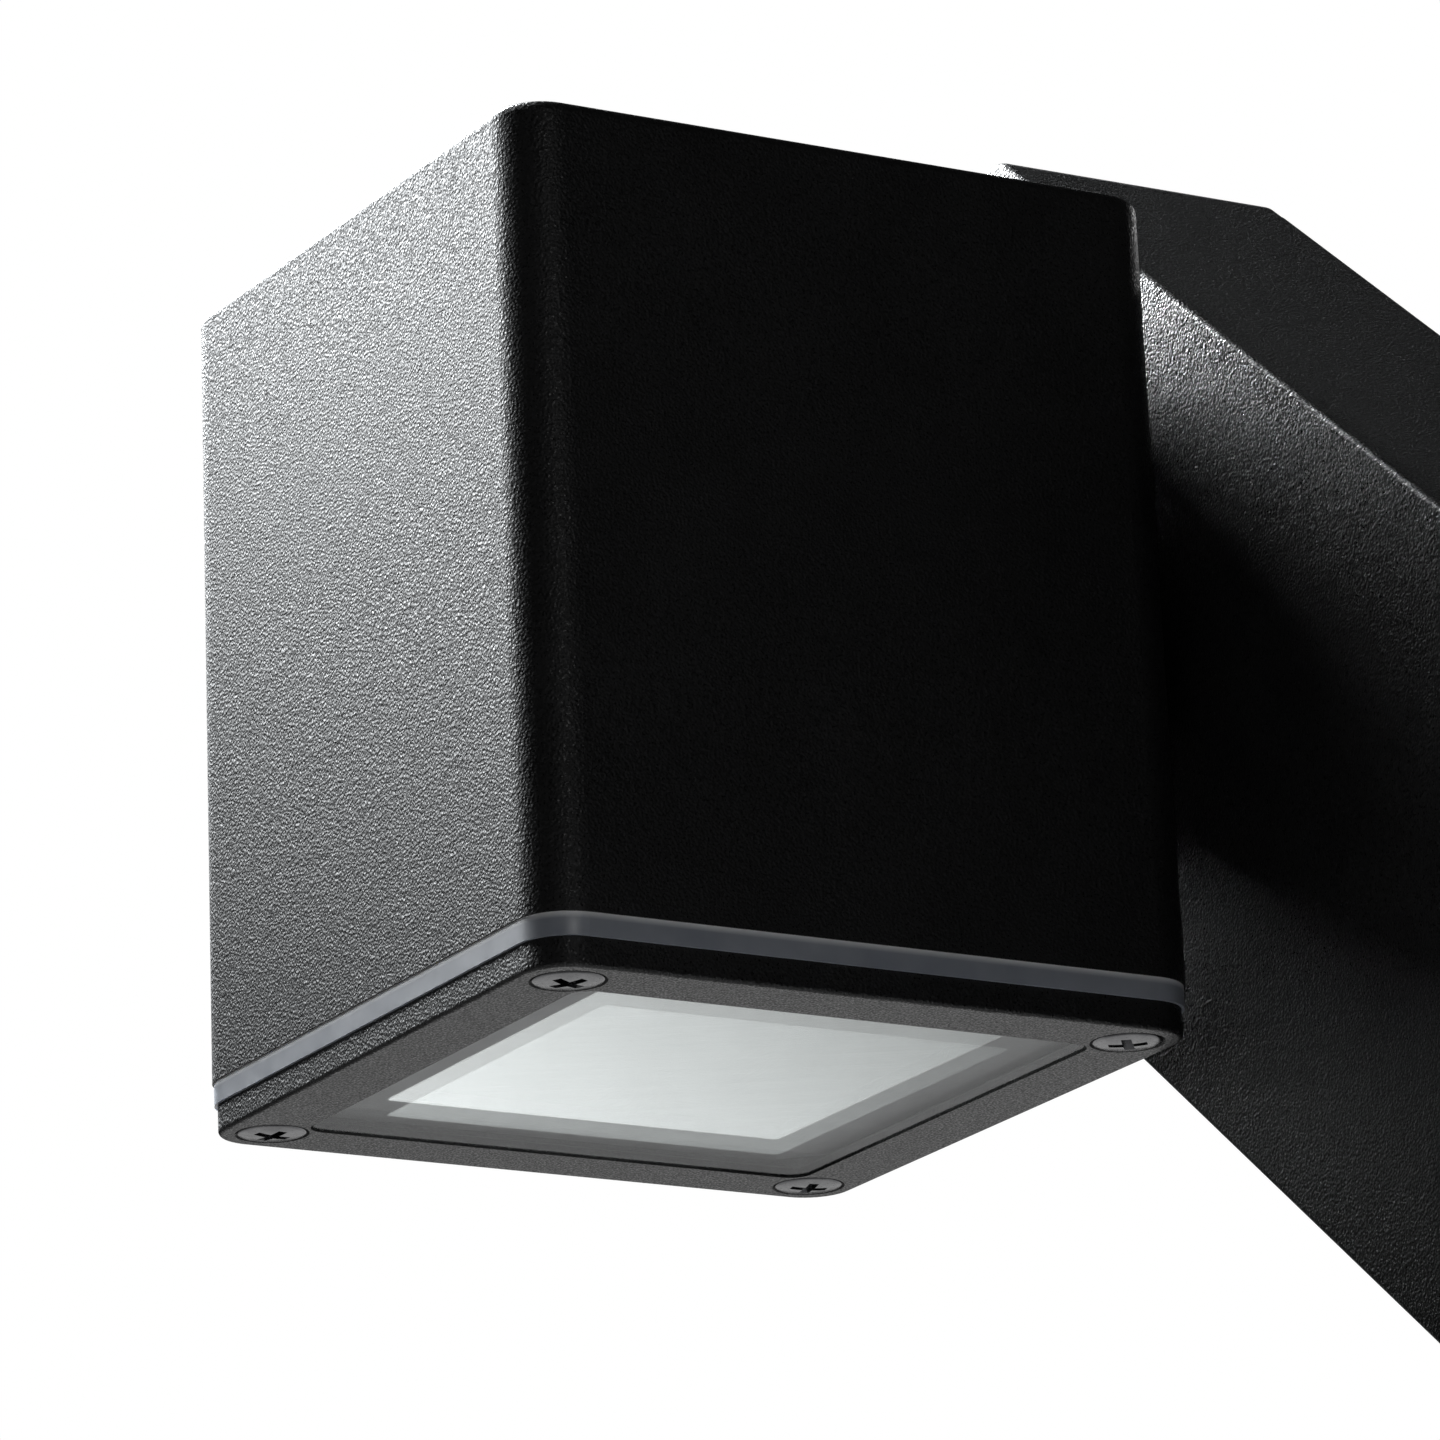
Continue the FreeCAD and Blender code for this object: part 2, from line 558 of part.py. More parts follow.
def make_thrust_ring():
    """Steel ring against the inside of the head's back wall."""
    thrust, spring, _, _ = swivel_stack()
    return on_pivot(ring(THRUST_RING_RADIUS, SPINDLE_RADIUS + HOLE_CLEARANCE, thrust, spring))


def make_spring_ring():
    """Coned spring ring that keeps the swivel tight."""
    _, spring, nut, _ = swivel_stack()
    inner = SPINDLE_RADIUS + HOLE_CLEARANCE
    outer = THRUST_RING_RADIUS
    section = [(inner, nut - SPRING_THICKNESS), (inner, nut), (outer, spring + SPRING_THICKNESS), (outer, spring)]
    return on_pivot(revolve(section))


def make_swivel_nut():
    """Six-sided nut on the spindle's inner end."""
    _, _, nut, end = swivel_stack()
    corner = NUT_ACROSS_FLATS / math.sqrt(3)
    points = [Vector(corner * math.cos(math.radians(60 * k)), corner * math.sin(math.radians(60 * k)), nut)
              for k in range(6)]
    body = Part.Face(Part.makePolygon(points + [points[0]])).extrude(Vector(0, 0, end - nut))
    return on_pivot(body.cut(rod(SPINDLE_RADIUS + THREAD_CLEARANCE, nut, end)))


def stop_groove():
    """Arc groove in the wall box's front that the stop pin runs in."""
    bottom = BOX_FRONT - STOP_GROOVE_DEPTH
    half = STOP_PIN_RADIUS + STOP_CLEARANCE
    track = ring(STOP_PIN_ORBIT + half, STOP_PIN_ORBIT - half, bottom, BOX_FRONT)
    reach = 2 * STOP_PIN_ORBIT
    low_side = block(2 * reach, reach, bottom, BOX_FRONT, 0, -reach / 2)
    right = low_side.copy()
    right.rotate(Vector(0, 0, 0), Vector(0, 0, 1), 90 - SWING)
    left = low_side.copy()
    left.rotate(Vector(0, 0, 0), Vector(0, 0, 1), SWING - 90)
    track = track.cut(right).cut(left)
    ends = []
    for side in (-1, 1):
        angle = math.radians(90 + side * SWING)
        x = STOP_PIN_ORBIT * math.cos(angle)
        y = STOP_PIN_ORBIT * math.sin(angle)
        ends.append(rod(half, bottom, BOX_FRONT, x, y))
    return on_pivot(join([track] + ends))


# ---------------------------------------------------------------------------------------------------
# Wall box and what it holds, in the wall frame
# ---------------------------------------------------------------------------------------------------
def driver_places():
    """Where the driver's two fixing ears have their screws."""
    low = -BOX_LENGTH / 2 + DRIVER_FROM_BOTTOM
    return [(0, low + DRIVER_EAR / 2), (0, low + DRIVER_EAR * 1.5 + DRIVER_LENGTH)]


def make_wall_box():
    """Cast wall box, open at the back, with the spindle hole, stop groove and driver bosses."""
    body = rounded_block(BOX_WIDTH, BOX_LENGTH, BOX_CORNER_RADIUS, BOX_BACK, BOX_FRONT)
    front_edges = [edge for edge in body.Edges if edge.BoundBox.ZMin > BOX_FRONT - 0.01]
    body = body.makeFillet(BOX_FRONT_FILLET, front_edges)
    back_edges = [edge for edge in body.Edges if edge.BoundBox.ZMax < BOX_BACK + 0.01]
    body = body.makeFillet(BOX_BACK_FILLET, back_edges)
    cavity = rounded_block(BOX_WIDTH - 2 * BOX_WALL, BOX_LENGTH - 2 * BOX_WALL,
                           BOX_CORNER_RADIUS - BOX_WALL, BOX_BACK, BOX_FRONT_INSIDE)
    body = body.cut(cavity)
    boss_back = BOX_FRONT_INSIDE - (DRIVER_HEIGHT - DRIVER_EAR_THICKNESS)
    bosses = [rod(STANDOFF_RADIUS, boss_back, BOX_FRONT_INSIDE + BOX_FRONT_WALL / 2, x, y)
              for x, y in driver_places()]
    body = join([body] + bosses)
    for x, y in driver_places():
        body = body.cut(rod(M3["shank"] + THREAD_CLEARANCE, boss_back, boss_back + M3["height"] * 4, x, y))
    hole = spindle_section(SPINDLE_RADIUS + SPINDLE_CLEARANCE, BOX_FRONT_INSIDE, BOX_FRONT)
    body = body.cut(on_pivot(hole)).cut(stop_groove())
    for side in (1, -1):
        body = body.cut(end_screw_hole(M4["shank"] + HOLE_CLEARANCE, side))
    return body


def end_screw_hole(radius, side):
    """Cylinder along the wall box's length at one end screw."""
    start = Vector(0, side * (BOX_LENGTH / 2 + 1), END_SCREW_HEIGHT)
    return Part.makeCylinder(radius, END_SCREW_LENGTH + 2, start, Vector(0, -side, 0))


def make_end_screws():
    """Two screws that hold the wall box on the wall plate's ears."""
    screws = []
    for side in (1, -1):
        screw = pan_screw(M4, END_SCREW_LENGTH)
        screw.rotate(Vector(0, 0, 0), Vector(1, 0, 0), 90 * side)
        screws.append(placed(screw, 0, side * BOX_LENGTH / 2, END_SCREW_HEIGHT))
    return screws


def make_wall_gasket():
    """Rubber gasket between the wall box's rim and the wall."""
    outer_x = BOX_WIDTH - 2 * WALL_GASKET_INSET
    outer_y = BOX_LENGTH - 2 * WALL_GASKET_INSET
    radius = BOX_CORNER_RADIUS - WALL_GASKET_INSET
    body = rounded_block(outer_x, outer_y, radius, 0, WALL_GASKET_THICKNESS)
    width = 2 * WALL_GASKET_WIDTH
    return body.cut(rounded_block(outer_x - width, outer_y - width, radius, 0, WALL_GASKET_THICKNESS))


def make_wall_plate():
    """Steel plate screwed to the wall, with an ear at each end for the wall box."""
    body = rounded_block(PLATE_X, PLATE_Y, PLATE_CORNER_RADIUS, 0, PLATE_THICKNESS)
    pieces = [body]
    for side in (1, -1):
        y = side * (PLATE_Y - PLATE_THICKNESS) / 2
        pieces.append(block(EAR_WIDTH, PLATE_THICKNESS, 0, EAR_HEIGHT, 0, y))
    body = join(pieces)
    for side in (1, -1):
        body = body.cut(end_screw_hole(M4["shank"] + THREAD_CLEARANCE, side))
        body = body.cut(rod(WALL_HOLE_RADIUS, 0, PLATE_THICKNESS, 0, side * WALL_HOLE_SPACING / 2))
    body = body.cut(rod(CABLE_HOLE_RADIUS, 0, PLATE_THICKNESS))
    body = body.cut(rod(M4["shank"] + THREAD_CLEARANCE, 0, PLATE_THICKNESS, 0, EARTH_FROM_CENTRE))
    for x, y in clamp_places():
        body = body.cut(rod(M3["shank"] + THREAD_CLEARANCE, 0, PLATE_THICKNESS, x, y))
    for x, y in terminal_feet():
        body = body.cut(rod(M3["shank"] + THREAD_CLEARANCE, 0, PLATE_THICKNESS, x, y))
    return body


def make_cable_grommet():
    """Rubber grommet in the wall plate, for the supply cable."""
    neck = ring(CABLE_HOLE_RADIUS - THREAD_CLEARANCE, GROMMET_BORE_RADIUS, 0, PLATE_THICKNESS)
    lip = ring(CABLE_HOLE_RADIUS + GROMMET_LIP, GROMMET_BORE_RADIUS, PLATE_THICKNESS,
               PLATE_THICKNESS + GROMMET_LIP)
    return join([neck, lip])


def make_earth_screw():
    """Earth screw on the wall plate, its head towards the front."""
    screw = pan_screw(M4, PLATE_THICKNESS)
    screw.rotate(Vector(0, 0, 0), Vector(1, 0, 0), 180)
    return placed(screw, 0, EARTH_FROM_CENTRE, PLATE_THICKNESS)


def clamp_places():
    """Where the cable clamp's two screws stand."""
    x = CLAMP_WIDTH / 2 - STANDOFF_RADIUS
    return [(x, -CLAMP_FROM_CENTRE), (-x, -CLAMP_FROM_CENTRE)]


def make_cable_clamp():
    """Plastic bridge that holds the supply cable down."""
    top = PLATE_THICKNESS + CLAMP_CABLE_HEIGHT + CLAMP_THICKNESS
    body = block(CLAMP_WIDTH, CLAMP_LENGTH, PLATE_THICKNESS, top, 0, -CLAMP_FROM_CENTRE)
    tunnel = block(CLAMP_WIDTH - 4 * STANDOFF_RADIUS, CLAMP_LENGTH, PLATE_THICKNESS, top - CLAMP_THICKNESS,
                   0, -CLAMP_FROM_CENTRE)
    body = body.cut(tunnel)
    for x, y in clamp_places():
        body = body.cut(rod(M3["shank"] + HOLE_CLEARANCE, PLATE_THICKNESS, top, x, y))
    return body


def make_clamp_screws():
    """Two screws that hold the cable clamp on the wall plate."""
    reach = CLAMP_CABLE_HEIGHT + CLAMP_THICKNESS
    screw = pan_screw(M3, reach + PLATE_THICKNESS)
    screw.rotate(Vector(0, 0, 0), Vector(1, 0, 0), 180)
    return [placed(screw, x, y, PLATE_THICKNESS + reach) for x, y in clamp_places()]


def terminal_feet():
    """Where the terminal block's two fixing screws stand."""
    x = TERMINAL_WIDTH / 2 - M3["head"] - HOLE_CLEARANCE
    y = TERMINAL_FROM_CENTRE + TERMINAL_LENGTH / 2
    y_step = GROMMET_LIP + CABLE_HOLE_RADIUS - TERMINAL_FROM_CENTRE
    return [(x, y + y_step), (-x, y + y_step)]


def terminal_centre():
    """Centre of the terminal block along the wall box."""
    return terminal_feet()[0][1]


def make_terminal_block():
    """Three-pole terminal block on the wall plate."""
    y = terminal_centre()
    top = PLATE_THICKNESS + TERMINAL_HEIGHT
    foot_top = PLATE_THICKNESS + TERMINAL_HEIGHT / 4
    foot = block(TERMINAL_WIDTH, TERMINAL_LENGTH, PLATE_THICKNESS, foot_top, 0, y)
    tower_width = TERMINAL_WIDTH - 4 * (M3["head"] + HOLE_CLEARANCE)
    tower = block(tower_width, TERMINAL_LENGTH, PLATE_THICKNESS, top, 0, y)
    body = join([foot, tower])
    for x, _ in terminal_feet():
        body = body.cut(rod(M3["shank"] + HOLE_CLEARANCE, PLATE_THICKNESS, foot_top, x, y))
    for x in terminal_columns():
        body = body.cut(rod(TERMINAL_SCREW_RADIUS + THREAD_CLEARANCE, top - TERMINAL_HEIGHT / 2, top, x, y))
    return body


def terminal_columns():
    """Positions of the poles across the terminal block."""
    tower_width = TERMINAL_WIDTH - 4 * (M3["head"] + HOLE_CLEARANCE)
    pitch = tower_width / TERMINAL_POLES
    return [(index - (TERMINAL_POLES - 1) / 2) * pitch for index in range(TERMINAL_POLES)]


def make_terminal_screws():
    """One clamping screw for each pole of the terminal block."""
    top = PLATE_THICKNESS + TERMINAL_HEIGHT
    depth = TERMINAL_HEIGHT / 3
    screws = []
    for x in terminal_columns():
        screw = rod(TERMINAL_SCREW_RADIUS, top - depth, top, x, terminal_centre())
        slot = block(2 * TERMINAL_SCREW_RADIUS, RECESS_WIDTH / 2, top - RECESS_WIDTH, top,
                     x, terminal_centre())
        screws.append(screw.cut(slot))
    return screws


def make_terminal_fixings():
    """Two screws that hold the terminal block on the wall plate."""
    foot = TERMINAL_HEIGHT / 4
    screw = pan_screw(M3, foot + PLATE_THICKNESS)
    screw.rotate(Vector(0, 0, 0), Vector(1, 0, 0), 180)
    return [placed(screw, x, y, PLATE_THICKNESS + foot) for x, y in terminal_feet()]


def make_led_driver():
    """Light driver on two bosses inside the wall box's front."""
    back = BOX_FRONT_INSIDE - DRIVER_HEIGHT
    places = driver_places()
    middle = (places[0][1] + places[1][1]) / 2
    case = rounded_block(DRIVER_WIDTH, DRIVER_LENGTH, BOX_WALL, back, BOX_FRONT_INSIDE)
    case = placed(case, 0, middle)
    ear_front = back + DRIVER_EAR_THICKNESS
    strip = block(2 * DRIVER_EAR, DRIVER_LENGTH + 2 * DRIVER_EAR, back, ear_front, 0, middle)
    body = join([case, strip])
    for x, y in places:
        body = body.cut(rod(M3["shank"] + HOLE_CLEARANCE, back, ear_front, x, y))
    return body


def make_driver_screws():
    """Two screws that hold the driver on its bosses."""
    back = BOX_FRONT_INSIDE - DRIVER_HEIGHT
    screw = pan_screw(M3, DRIVER_EAR_THICKNESS + M3["height"] * 3)
    return [placed(screw, x, y, back) for x, y in driver_places()]


HEAD_PARTS = {
    "head_housing": make_head_housing,
    "cover_gasket": make_cover_gasket,
    "cover_frame": make_cover_frame,
    "cover_screws": make_cover_screws,
    "glass_pane": make_glass_pane,
    "glass_seal": make_glass_seal,
    "diffuser_panel": make_diffuser_panel,
    "reflector_box": make_reflector_box,
    "led_board": make_led_board,
    "led_chips": make_led_chips,
    "heat_sink": make_heat_sink,
    "sink_screws": make_sink_screws,
    "board_screws": make_board_screws,
    "stop_pin": make_stop_pin,
}

WALL_PARTS = {
    "swivel_spindle": make_swivel_spindle,
    "friction_ring": make_friction_ring,
    "weather_ring": make_weather_ring,
    "thrust_ring": make_thrust_ring,
    "spring_ring": make_spring_ring,
    "swivel_nut": make_swivel_nut,
    "wall_box": make_wall_box,
    "end_screws": make_end_screws,
    "wall_gasket": make_wall_gasket,
    "wall_plate": make_wall_plate,
    "cable_grommet": make_cable_grommet,
    "earth_screw": make_earth_screw,
    "cable_clamp": make_cable_clamp,
    "clamp_screws": make_clamp_screws,
    "terminal_block": make_terminal_block,
    "terminal_screws": make_terminal_screws,
    "terminal_fixings": make_terminal_fixings,
    "led_driver": make_led_driver,
    "driver_screws": make_driver_screws,
}


def write_part(name, made, carry):
    """Carry one node's solids into place and write them to its STEP file."""
    solids = made if isinstance(made, list) else [made]
    moved = [carry(solid) for solid in solids]
    for solid in moved:
        if len(solid.Solids) != 1 or not solid.isValid():
            print("check", name, "solids", len(solid.Solids), "valid", solid.isValid())
    shape = moved[0] if len(moved) == 1 else Part.makeCompound(moved)
    shape.exportStep(os.path.join("parts", name + ".step"))


def main():
    """Build every node of the lantern."""
    os.makedirs("parts", exist_ok=True)
    for name, make in HEAD_PARTS.items():
        write_part(name, make(), in_head)
    for name, make in WALL_PARTS.items():
        write_part(name, make(), in_wall)
    pivot = in_wall(Part.Vertex(0, PIVOT_ALONG, BOX_FRONT)).Point
    print("swivel axis passes through", round(pivot.x, 3), round(pivot.y, 3), round(pivot.z, 3))


main()
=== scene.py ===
"""Looks of an outdoor wall lantern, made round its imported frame.

A square cast head, closed below by a glazed and screwed cover frame, swivels on the front of a flat cast
wall box.  Lengths here are metres, in the frame's own axes: +Z up, the wall on the plane Y = 0 and the
lantern in front of it, towards -Y.
"""

import logging
import math
from dataclasses import dataclass, field
from enum import Enum

import bmesh
import bpy
from mathutils import Matrix, Vector

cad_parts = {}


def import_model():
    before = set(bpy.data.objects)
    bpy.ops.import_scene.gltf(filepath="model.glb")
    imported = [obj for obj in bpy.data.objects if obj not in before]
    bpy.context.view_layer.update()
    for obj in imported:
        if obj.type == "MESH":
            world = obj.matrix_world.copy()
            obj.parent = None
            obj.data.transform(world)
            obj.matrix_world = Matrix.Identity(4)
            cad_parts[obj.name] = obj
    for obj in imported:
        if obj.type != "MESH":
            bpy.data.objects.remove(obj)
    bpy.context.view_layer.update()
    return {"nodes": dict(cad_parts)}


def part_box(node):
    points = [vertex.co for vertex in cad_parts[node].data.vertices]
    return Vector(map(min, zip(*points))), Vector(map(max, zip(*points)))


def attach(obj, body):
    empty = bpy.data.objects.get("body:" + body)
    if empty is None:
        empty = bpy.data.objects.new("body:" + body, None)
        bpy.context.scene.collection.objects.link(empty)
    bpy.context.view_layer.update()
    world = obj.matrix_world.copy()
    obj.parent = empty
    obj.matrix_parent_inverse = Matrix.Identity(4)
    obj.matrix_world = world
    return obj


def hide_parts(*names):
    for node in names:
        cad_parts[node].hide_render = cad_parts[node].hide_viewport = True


log = logging.getLogger("wall_lantern")

MM = 0.001
Colour = tuple[float, float, float]
Axes = tuple[float, float, float]
Range = tuple[float, float]

WHITE: Colour = (1.0, 1.0, 1.0)
COOL_WHITE: Colour = (0.95, 0.98, 1.0)

# The part of a noise pattern, which runs from 0 to 1, that holds nearly all of it.
PATTERN_LOW = 0.3
PATTERN_HIGH = 0.7

# Layers of a noise pattern.
PLAIN = 1.0
MIXED = 2.0
FINE = 3.0
FINEST = 4.0

# How strongly light bends as it enters a surface.  The silicone's is set above its real 1.41, so that the
# strip shines more.
PLASTIC_INDEX = 1.49
COATING_INDEX = 1.5
GLASS_INDEX = 1.5
SILICONE_INDEX = 1.8

# Shares of X and Y that take a piece's plan from one corner, at 0, to the opposite one, at 1.
CORNER_TO_CORNER: Axes = (0.5, 0.5, 0.0)

WELD_DISTANCE = 1e-7
SCREW_EDGE_ANGLE = 30.0


class Body(Enum):
    """The two bodies that move against each other."""

    WALL = "wall_body"
    HEAD = "head_body"


# ---------------------------------------------------------------------------------------------------
# Finishes
# ---------------------------------------------------------------------------------------------------
class FinishSheet:
    """Node tree of one finish, with short ways to add the patterns that finishes share."""

    def __init__(self, name: str) -> None:
        """Start a finish.

        Args:
            name: The material's name.
        """
        self.material = bpy.data.materials.new(name)
        self.material.use_nodes = True
        self.tree = self.material.node_tree
        self.shader = self.tree.nodes["Principled BSDF"]
        place = self.tree.nodes.new("ShaderNodeTexCoord")
        self.place = place.outputs["Object"]

    def set(self, **values: float | tuple[float, ...]) -> None:
        """Set constants on the shader's own sockets.

        Args:
            values: Socket names with underscores for spaces, and what each one holds.
        """
        for name, value in values.items():
            self.shader.inputs[name.replace("_", " ")].default_value = value

    def feed(self, socket: str, source: bpy.types.NodeSocket) -> None:
        """Link a pattern to one of the shader's sockets."""
        self.tree.links.new(source, self.shader.inputs[socket])

    def noise(self, size: float, detail: float = MIXED,
              stretch: Axes = (1.0, 1.0, 1.0)) -> bpy.types.NodeSocket:
        """Cloudy pattern whose patches are about one size.

        Args:
            size: Size of a patch.
            detail: How many finer layers lie on it.
            stretch: How much each axis is squeezed, to draw the patches out.

        Returns:
            The pattern, from 0 to 1.
        """
        mapping = self.tree.nodes.new("ShaderNodeMapping")
        mapping.inputs["Scale"].default_value = stretch
        self.tree.links.new(self.place, mapping.inputs["Vector"])
        node = self.tree.nodes.new("ShaderNodeTexNoise")
        node.inputs["Scale"].default_value = 1.0 / size
        node.inputs["Detail"].default_value = detail
        self.tree.links.new(mapping.outputs["Vector"], node.inputs["Vector"])
        return node.outputs["Fac"]

    def pebbles(self, size: float, rounding: float = 0.6) -> bpy.types.NodeSocket:
        """Pattern of small rounded grains, as sand in a paint film.

        Args:
            size: Distance from grain to grain.
            rounding: How softly the grains run into each other.

        Returns:
            The pattern, 0 at the middle of a grain.
        """
        node = self.tree.nodes.new("ShaderNodeTexVoronoi")
        node.feature = "SMOOTH_F1"
        node.inputs["Scale"].default_value = 1.0 / size
        node.inputs["Smoothness"].default_value = rounding
        self.tree.links.new(self.place, node.inputs["Vector"])
        return node.outputs["Distance"]

    def spread(self, source: bpy.types.NodeSocket, low: float, high: float) -> bpy.types.NodeSocket:
        """Stretch the middle of a pattern to a range of values.

        Args:
            source: A pattern from 0 to 1.
            low: Value at the pattern's low patches.
            high: Value at its high patches.

        Returns:
            The stretched pattern.
        """
        node = self.tree.nodes.new("ShaderNodeMapRange")
        node.inputs["From Min"].default_value = PATTERN_LOW
        node.inputs["From Max"].default_value = PATTERN_HIGH
        node.inputs["To Min"].default_value = low
        node.inputs["To Max"].default_value = high
        self.tree.links.new(source, node.inputs["Value"])
        return node.outputs["Result"]

    def tint(self, source: bpy.types.NodeSocket, low: Colour, high: Colour) -> bpy.types.NodeSocket:
        """Colour that a pattern carries from one shade to another.

        Args:
            source: A pattern from 0 to 1.
            low: Colour at the pattern's low patches.
            high: Colour at its high patches.

        Returns:
            The colour.
        """
        ramp = self.tree.nodes.new("ShaderNodeValToRGB")
        ramp.color_ramp.elements[0].position = PATTERN_LOW
        ramp.color_ramp.elements[0].color = (*low, 1.0)
        ramp.color_ramp.elements[1].position = PATTERN_HIGH
        ramp.color_ramp.elements[1].color = (*high, 1.0)
        self.tree.links.new(source, ramp.inputs["Fac"])
        return ramp.outputs["Color"]

    def rising(self, colour: bpy.types.NodeSocket, top: Colour, start: float) -> bpy.types.NodeSocket:
        """Let a colour give way to another one towards the top of the piece.

        Args:
            colour: The colour lower down.
            top: The colour at the very top.
            start: Share of the piece's height where the change starts.

        Returns:
            The colour.
        """
        place = self.tree.nodes.new("ShaderNodeTexCoord")
        split = self.tree.nodes.new("ShaderNodeSeparateXYZ")
        self.tree.links.new(place.outputs["Generated"], split.inputs["Vector"])
        climb = self.tree.nodes.new("ShaderNodeMapRange")
        climb.inputs["From Min"].default_value = start
        self.tree.links.new(split.outputs["Z"], climb.inputs["Value"])
        mix = self.tree.nodes.new("ShaderNodeMix")
        mix.data_type = "RGBA"
        mix.inputs["B"].default_value = (*top, 1.0)
        self.tree.links.new(climb.outputs["Result"], mix.inputs["Factor"])
        self.tree.links.new(colour, mix.inputs["A"])
        return mix.outputs["Result"]

    def fall(self, near: Colour, far: Colour) -> bpy.types.NodeSocket:
        """Colour that changes evenly from one corner of the piece's plan to the opposite one.

        Args:
            near: Colour at the corner of least X and Y.
            far: Colour at the corner of most X and Y.

        Returns:
            The colour.
        """
        place = self.tree.nodes.new("ShaderNodeTexCoord")
        along = self.tree.nodes.new("ShaderNodeVectorMath")
        along.operation = "DOT_PRODUCT"
        along.inputs[1].default_value = CORNER_TO_CORNER
        self.tree.links.new(place.outputs["Generated"], along.inputs[0])
        ramp = self.tree.nodes.new("ShaderNodeValToRGB")
        ramp.color_ramp.elements[0].color = (*near, 1.0)
        ramp.color_ramp.elements[1].color = (*far, 1.0)
        self.tree.links.new(along.outputs["Value"], ramp.inputs["Fac"])
        return ramp.outputs["Color"]

    def relief(self, source: bpy.types.NodeSocket, depth: float, strength: float = 1.0,
               under: bpy.types.NodeSocket | None = None) -> bpy.types.NodeSocket:
        """Fine relief of the surface.

        Args:
            source: The height pattern.
            depth: Height of the relief.
            strength: Share of it that shows.
            under: Coarser relief that this one lies on.

        Returns:
            The surface direction.
        """
        node = self.tree.nodes.new("ShaderNodeBump")
        node.inputs["Strength"].default_value = strength
        node.inputs["Distance"].default_value = depth
        self.tree.links.new(source, node.inputs["Height"])
        if under is not None:
            self.tree.links.new(under, node.inputs["Normal"])
        return node.outputs["Normal"]


@dataclass(frozen=True)
class PowderCoat:
    """Fine textured powder coat on a casting."""

    name: str = "powder_coat_black"
    dark: Colour = (0.0035, 0.0035, 0.0038)
    light: Colour = (0.0075, 0.0075, 0.008)
    gloss: Range = (0.24, 0.66)
    grain: float = 0.33 * MM
    grain_depth: float = 0.1 * MM
    speckle: float = 0.24 * MM
    peel: float = 1.7 * MM
    peel_depth: float = 0.05 * MM
    grain_strength: float = 0.8
    peel_strength: float = 0.6
    cloud: float = 10.2 * MM
    specular: float = 0.5

    def make(self) -> bpy.types.Material:
        """Return the paint, with its sandy grain lying on a coarser orange peel."""
        sheet = FinishSheet(self.name)
        sheet.set(IOR=COATING_INDEX, Specular_IOR_Level=self.specular)
        sheet.feed("Base Color", sheet.tint(sheet.noise(self.cloud, FINEST), self.dark, self.light))
        sheet.feed("Roughness", sheet.spread(sheet.noise(self.speckle, PLAIN), *self.gloss))
        peel = sheet.relief(sheet.noise(self.peel, PLAIN), self.peel_depth, self.peel_strength)
        grain = sheet.relief(sheet.pebbles(self.grain), self.grain_depth, self.grain_strength, peel)
        sheet.feed("Normal", grain)
        return sheet.material


@dataclass(frozen=True)
class ClearSilicone:
    """Milky silicone strip that light passes into, with a painted highlight: its upper edge is painted
    pale.
    """

    name: str = "silicone_clear"
    dark: Colour = (0.22, 0.24, 0.28)
    light: Colour = (0.3, 0.32, 0.36)
    # Painted highlight: pale colour painted along the top of the strip, standing in for the light it
    # catches there.
    painted_highlight: Colour = (0.9, 0.91, 0.92)
    painted_highlight_starts: float = 0.72
    roughness: Range = (0.36, 0.46)
    shine: float = 1.0
    milkiness: float = 0.2
    reach: Axes = (1.0, 1.1, 1.3)
    reach_scale: float = 0.5 * MM
    cloud: float = 5 * MM
    smear: float = 2 * MM
    wave: float = 2.5 * MM
    wave_depth: float = 0.02 * MM
    wave_strength: float = 0.3

    def make(self) -> bpy.types.Material:
        """Return the silicone, with faint clouds in it and a painted highlight along its upper edge."""
        sheet = FinishSheet(self.name)
        sheet.set(IOR=SILICONE_INDEX, Specular_IOR_Level=self.shine, Subsurface_Weight=self.milkiness)
        sheet.set(Subsurface_Radius=self.reach, Subsurface_Scale=self.reach_scale)
        clouds = sheet.tint(sheet.noise(self.cloud, FINE), self.dark, self.light)
        # The base colour turns pale towards the top of the strip, a painted highlight.
        sheet.feed("Base Color", sheet.rising(clouds, self.painted_highlight, self.painted_highlight_starts))
        sheet.feed("Roughness", sheet.spread(sheet.noise(self.smear), *self.roughness))
        wave = sheet.noise(self.wave, PLAIN)
        sheet.feed("Normal", sheet.relief(wave, self.wave_depth, self.wave_strength))
        return sheet.material


@dataclass(frozen=True)
class Rubber:
    """Matt moulded rubber or opaque silicone."""

    name: str
    dark: Colour
    light: Colour
    roughness: Range = (0.6, 0.8)
    bloom: float = 3 * MM
    wear: float = 1.5 * MM
    grain: float = 0.25 * MM
    grain_depth: float = 0.03 * MM
    grain_strength: float = 0.5

    def make(self) -> bpy.types.Material:
        """Return the rubber, with a dusty bloom and a fine mould grain."""
        sheet = FinishSheet(self.name)
        sheet.set(IOR=COATING_INDEX)
        sheet.feed("Base Color", sheet.tint(sheet.noise(self.bloom, FINEST), self.dark, self.light))
        sheet.feed("Roughness", sheet.spread(sheet.noise(self.wear), *self.roughness))
        grain = sheet.noise(self.grain, FINE)
        sheet.feed("Normal", sheet.relief(grain, self.grain_depth, self.grain_strength))
        return sheet.material


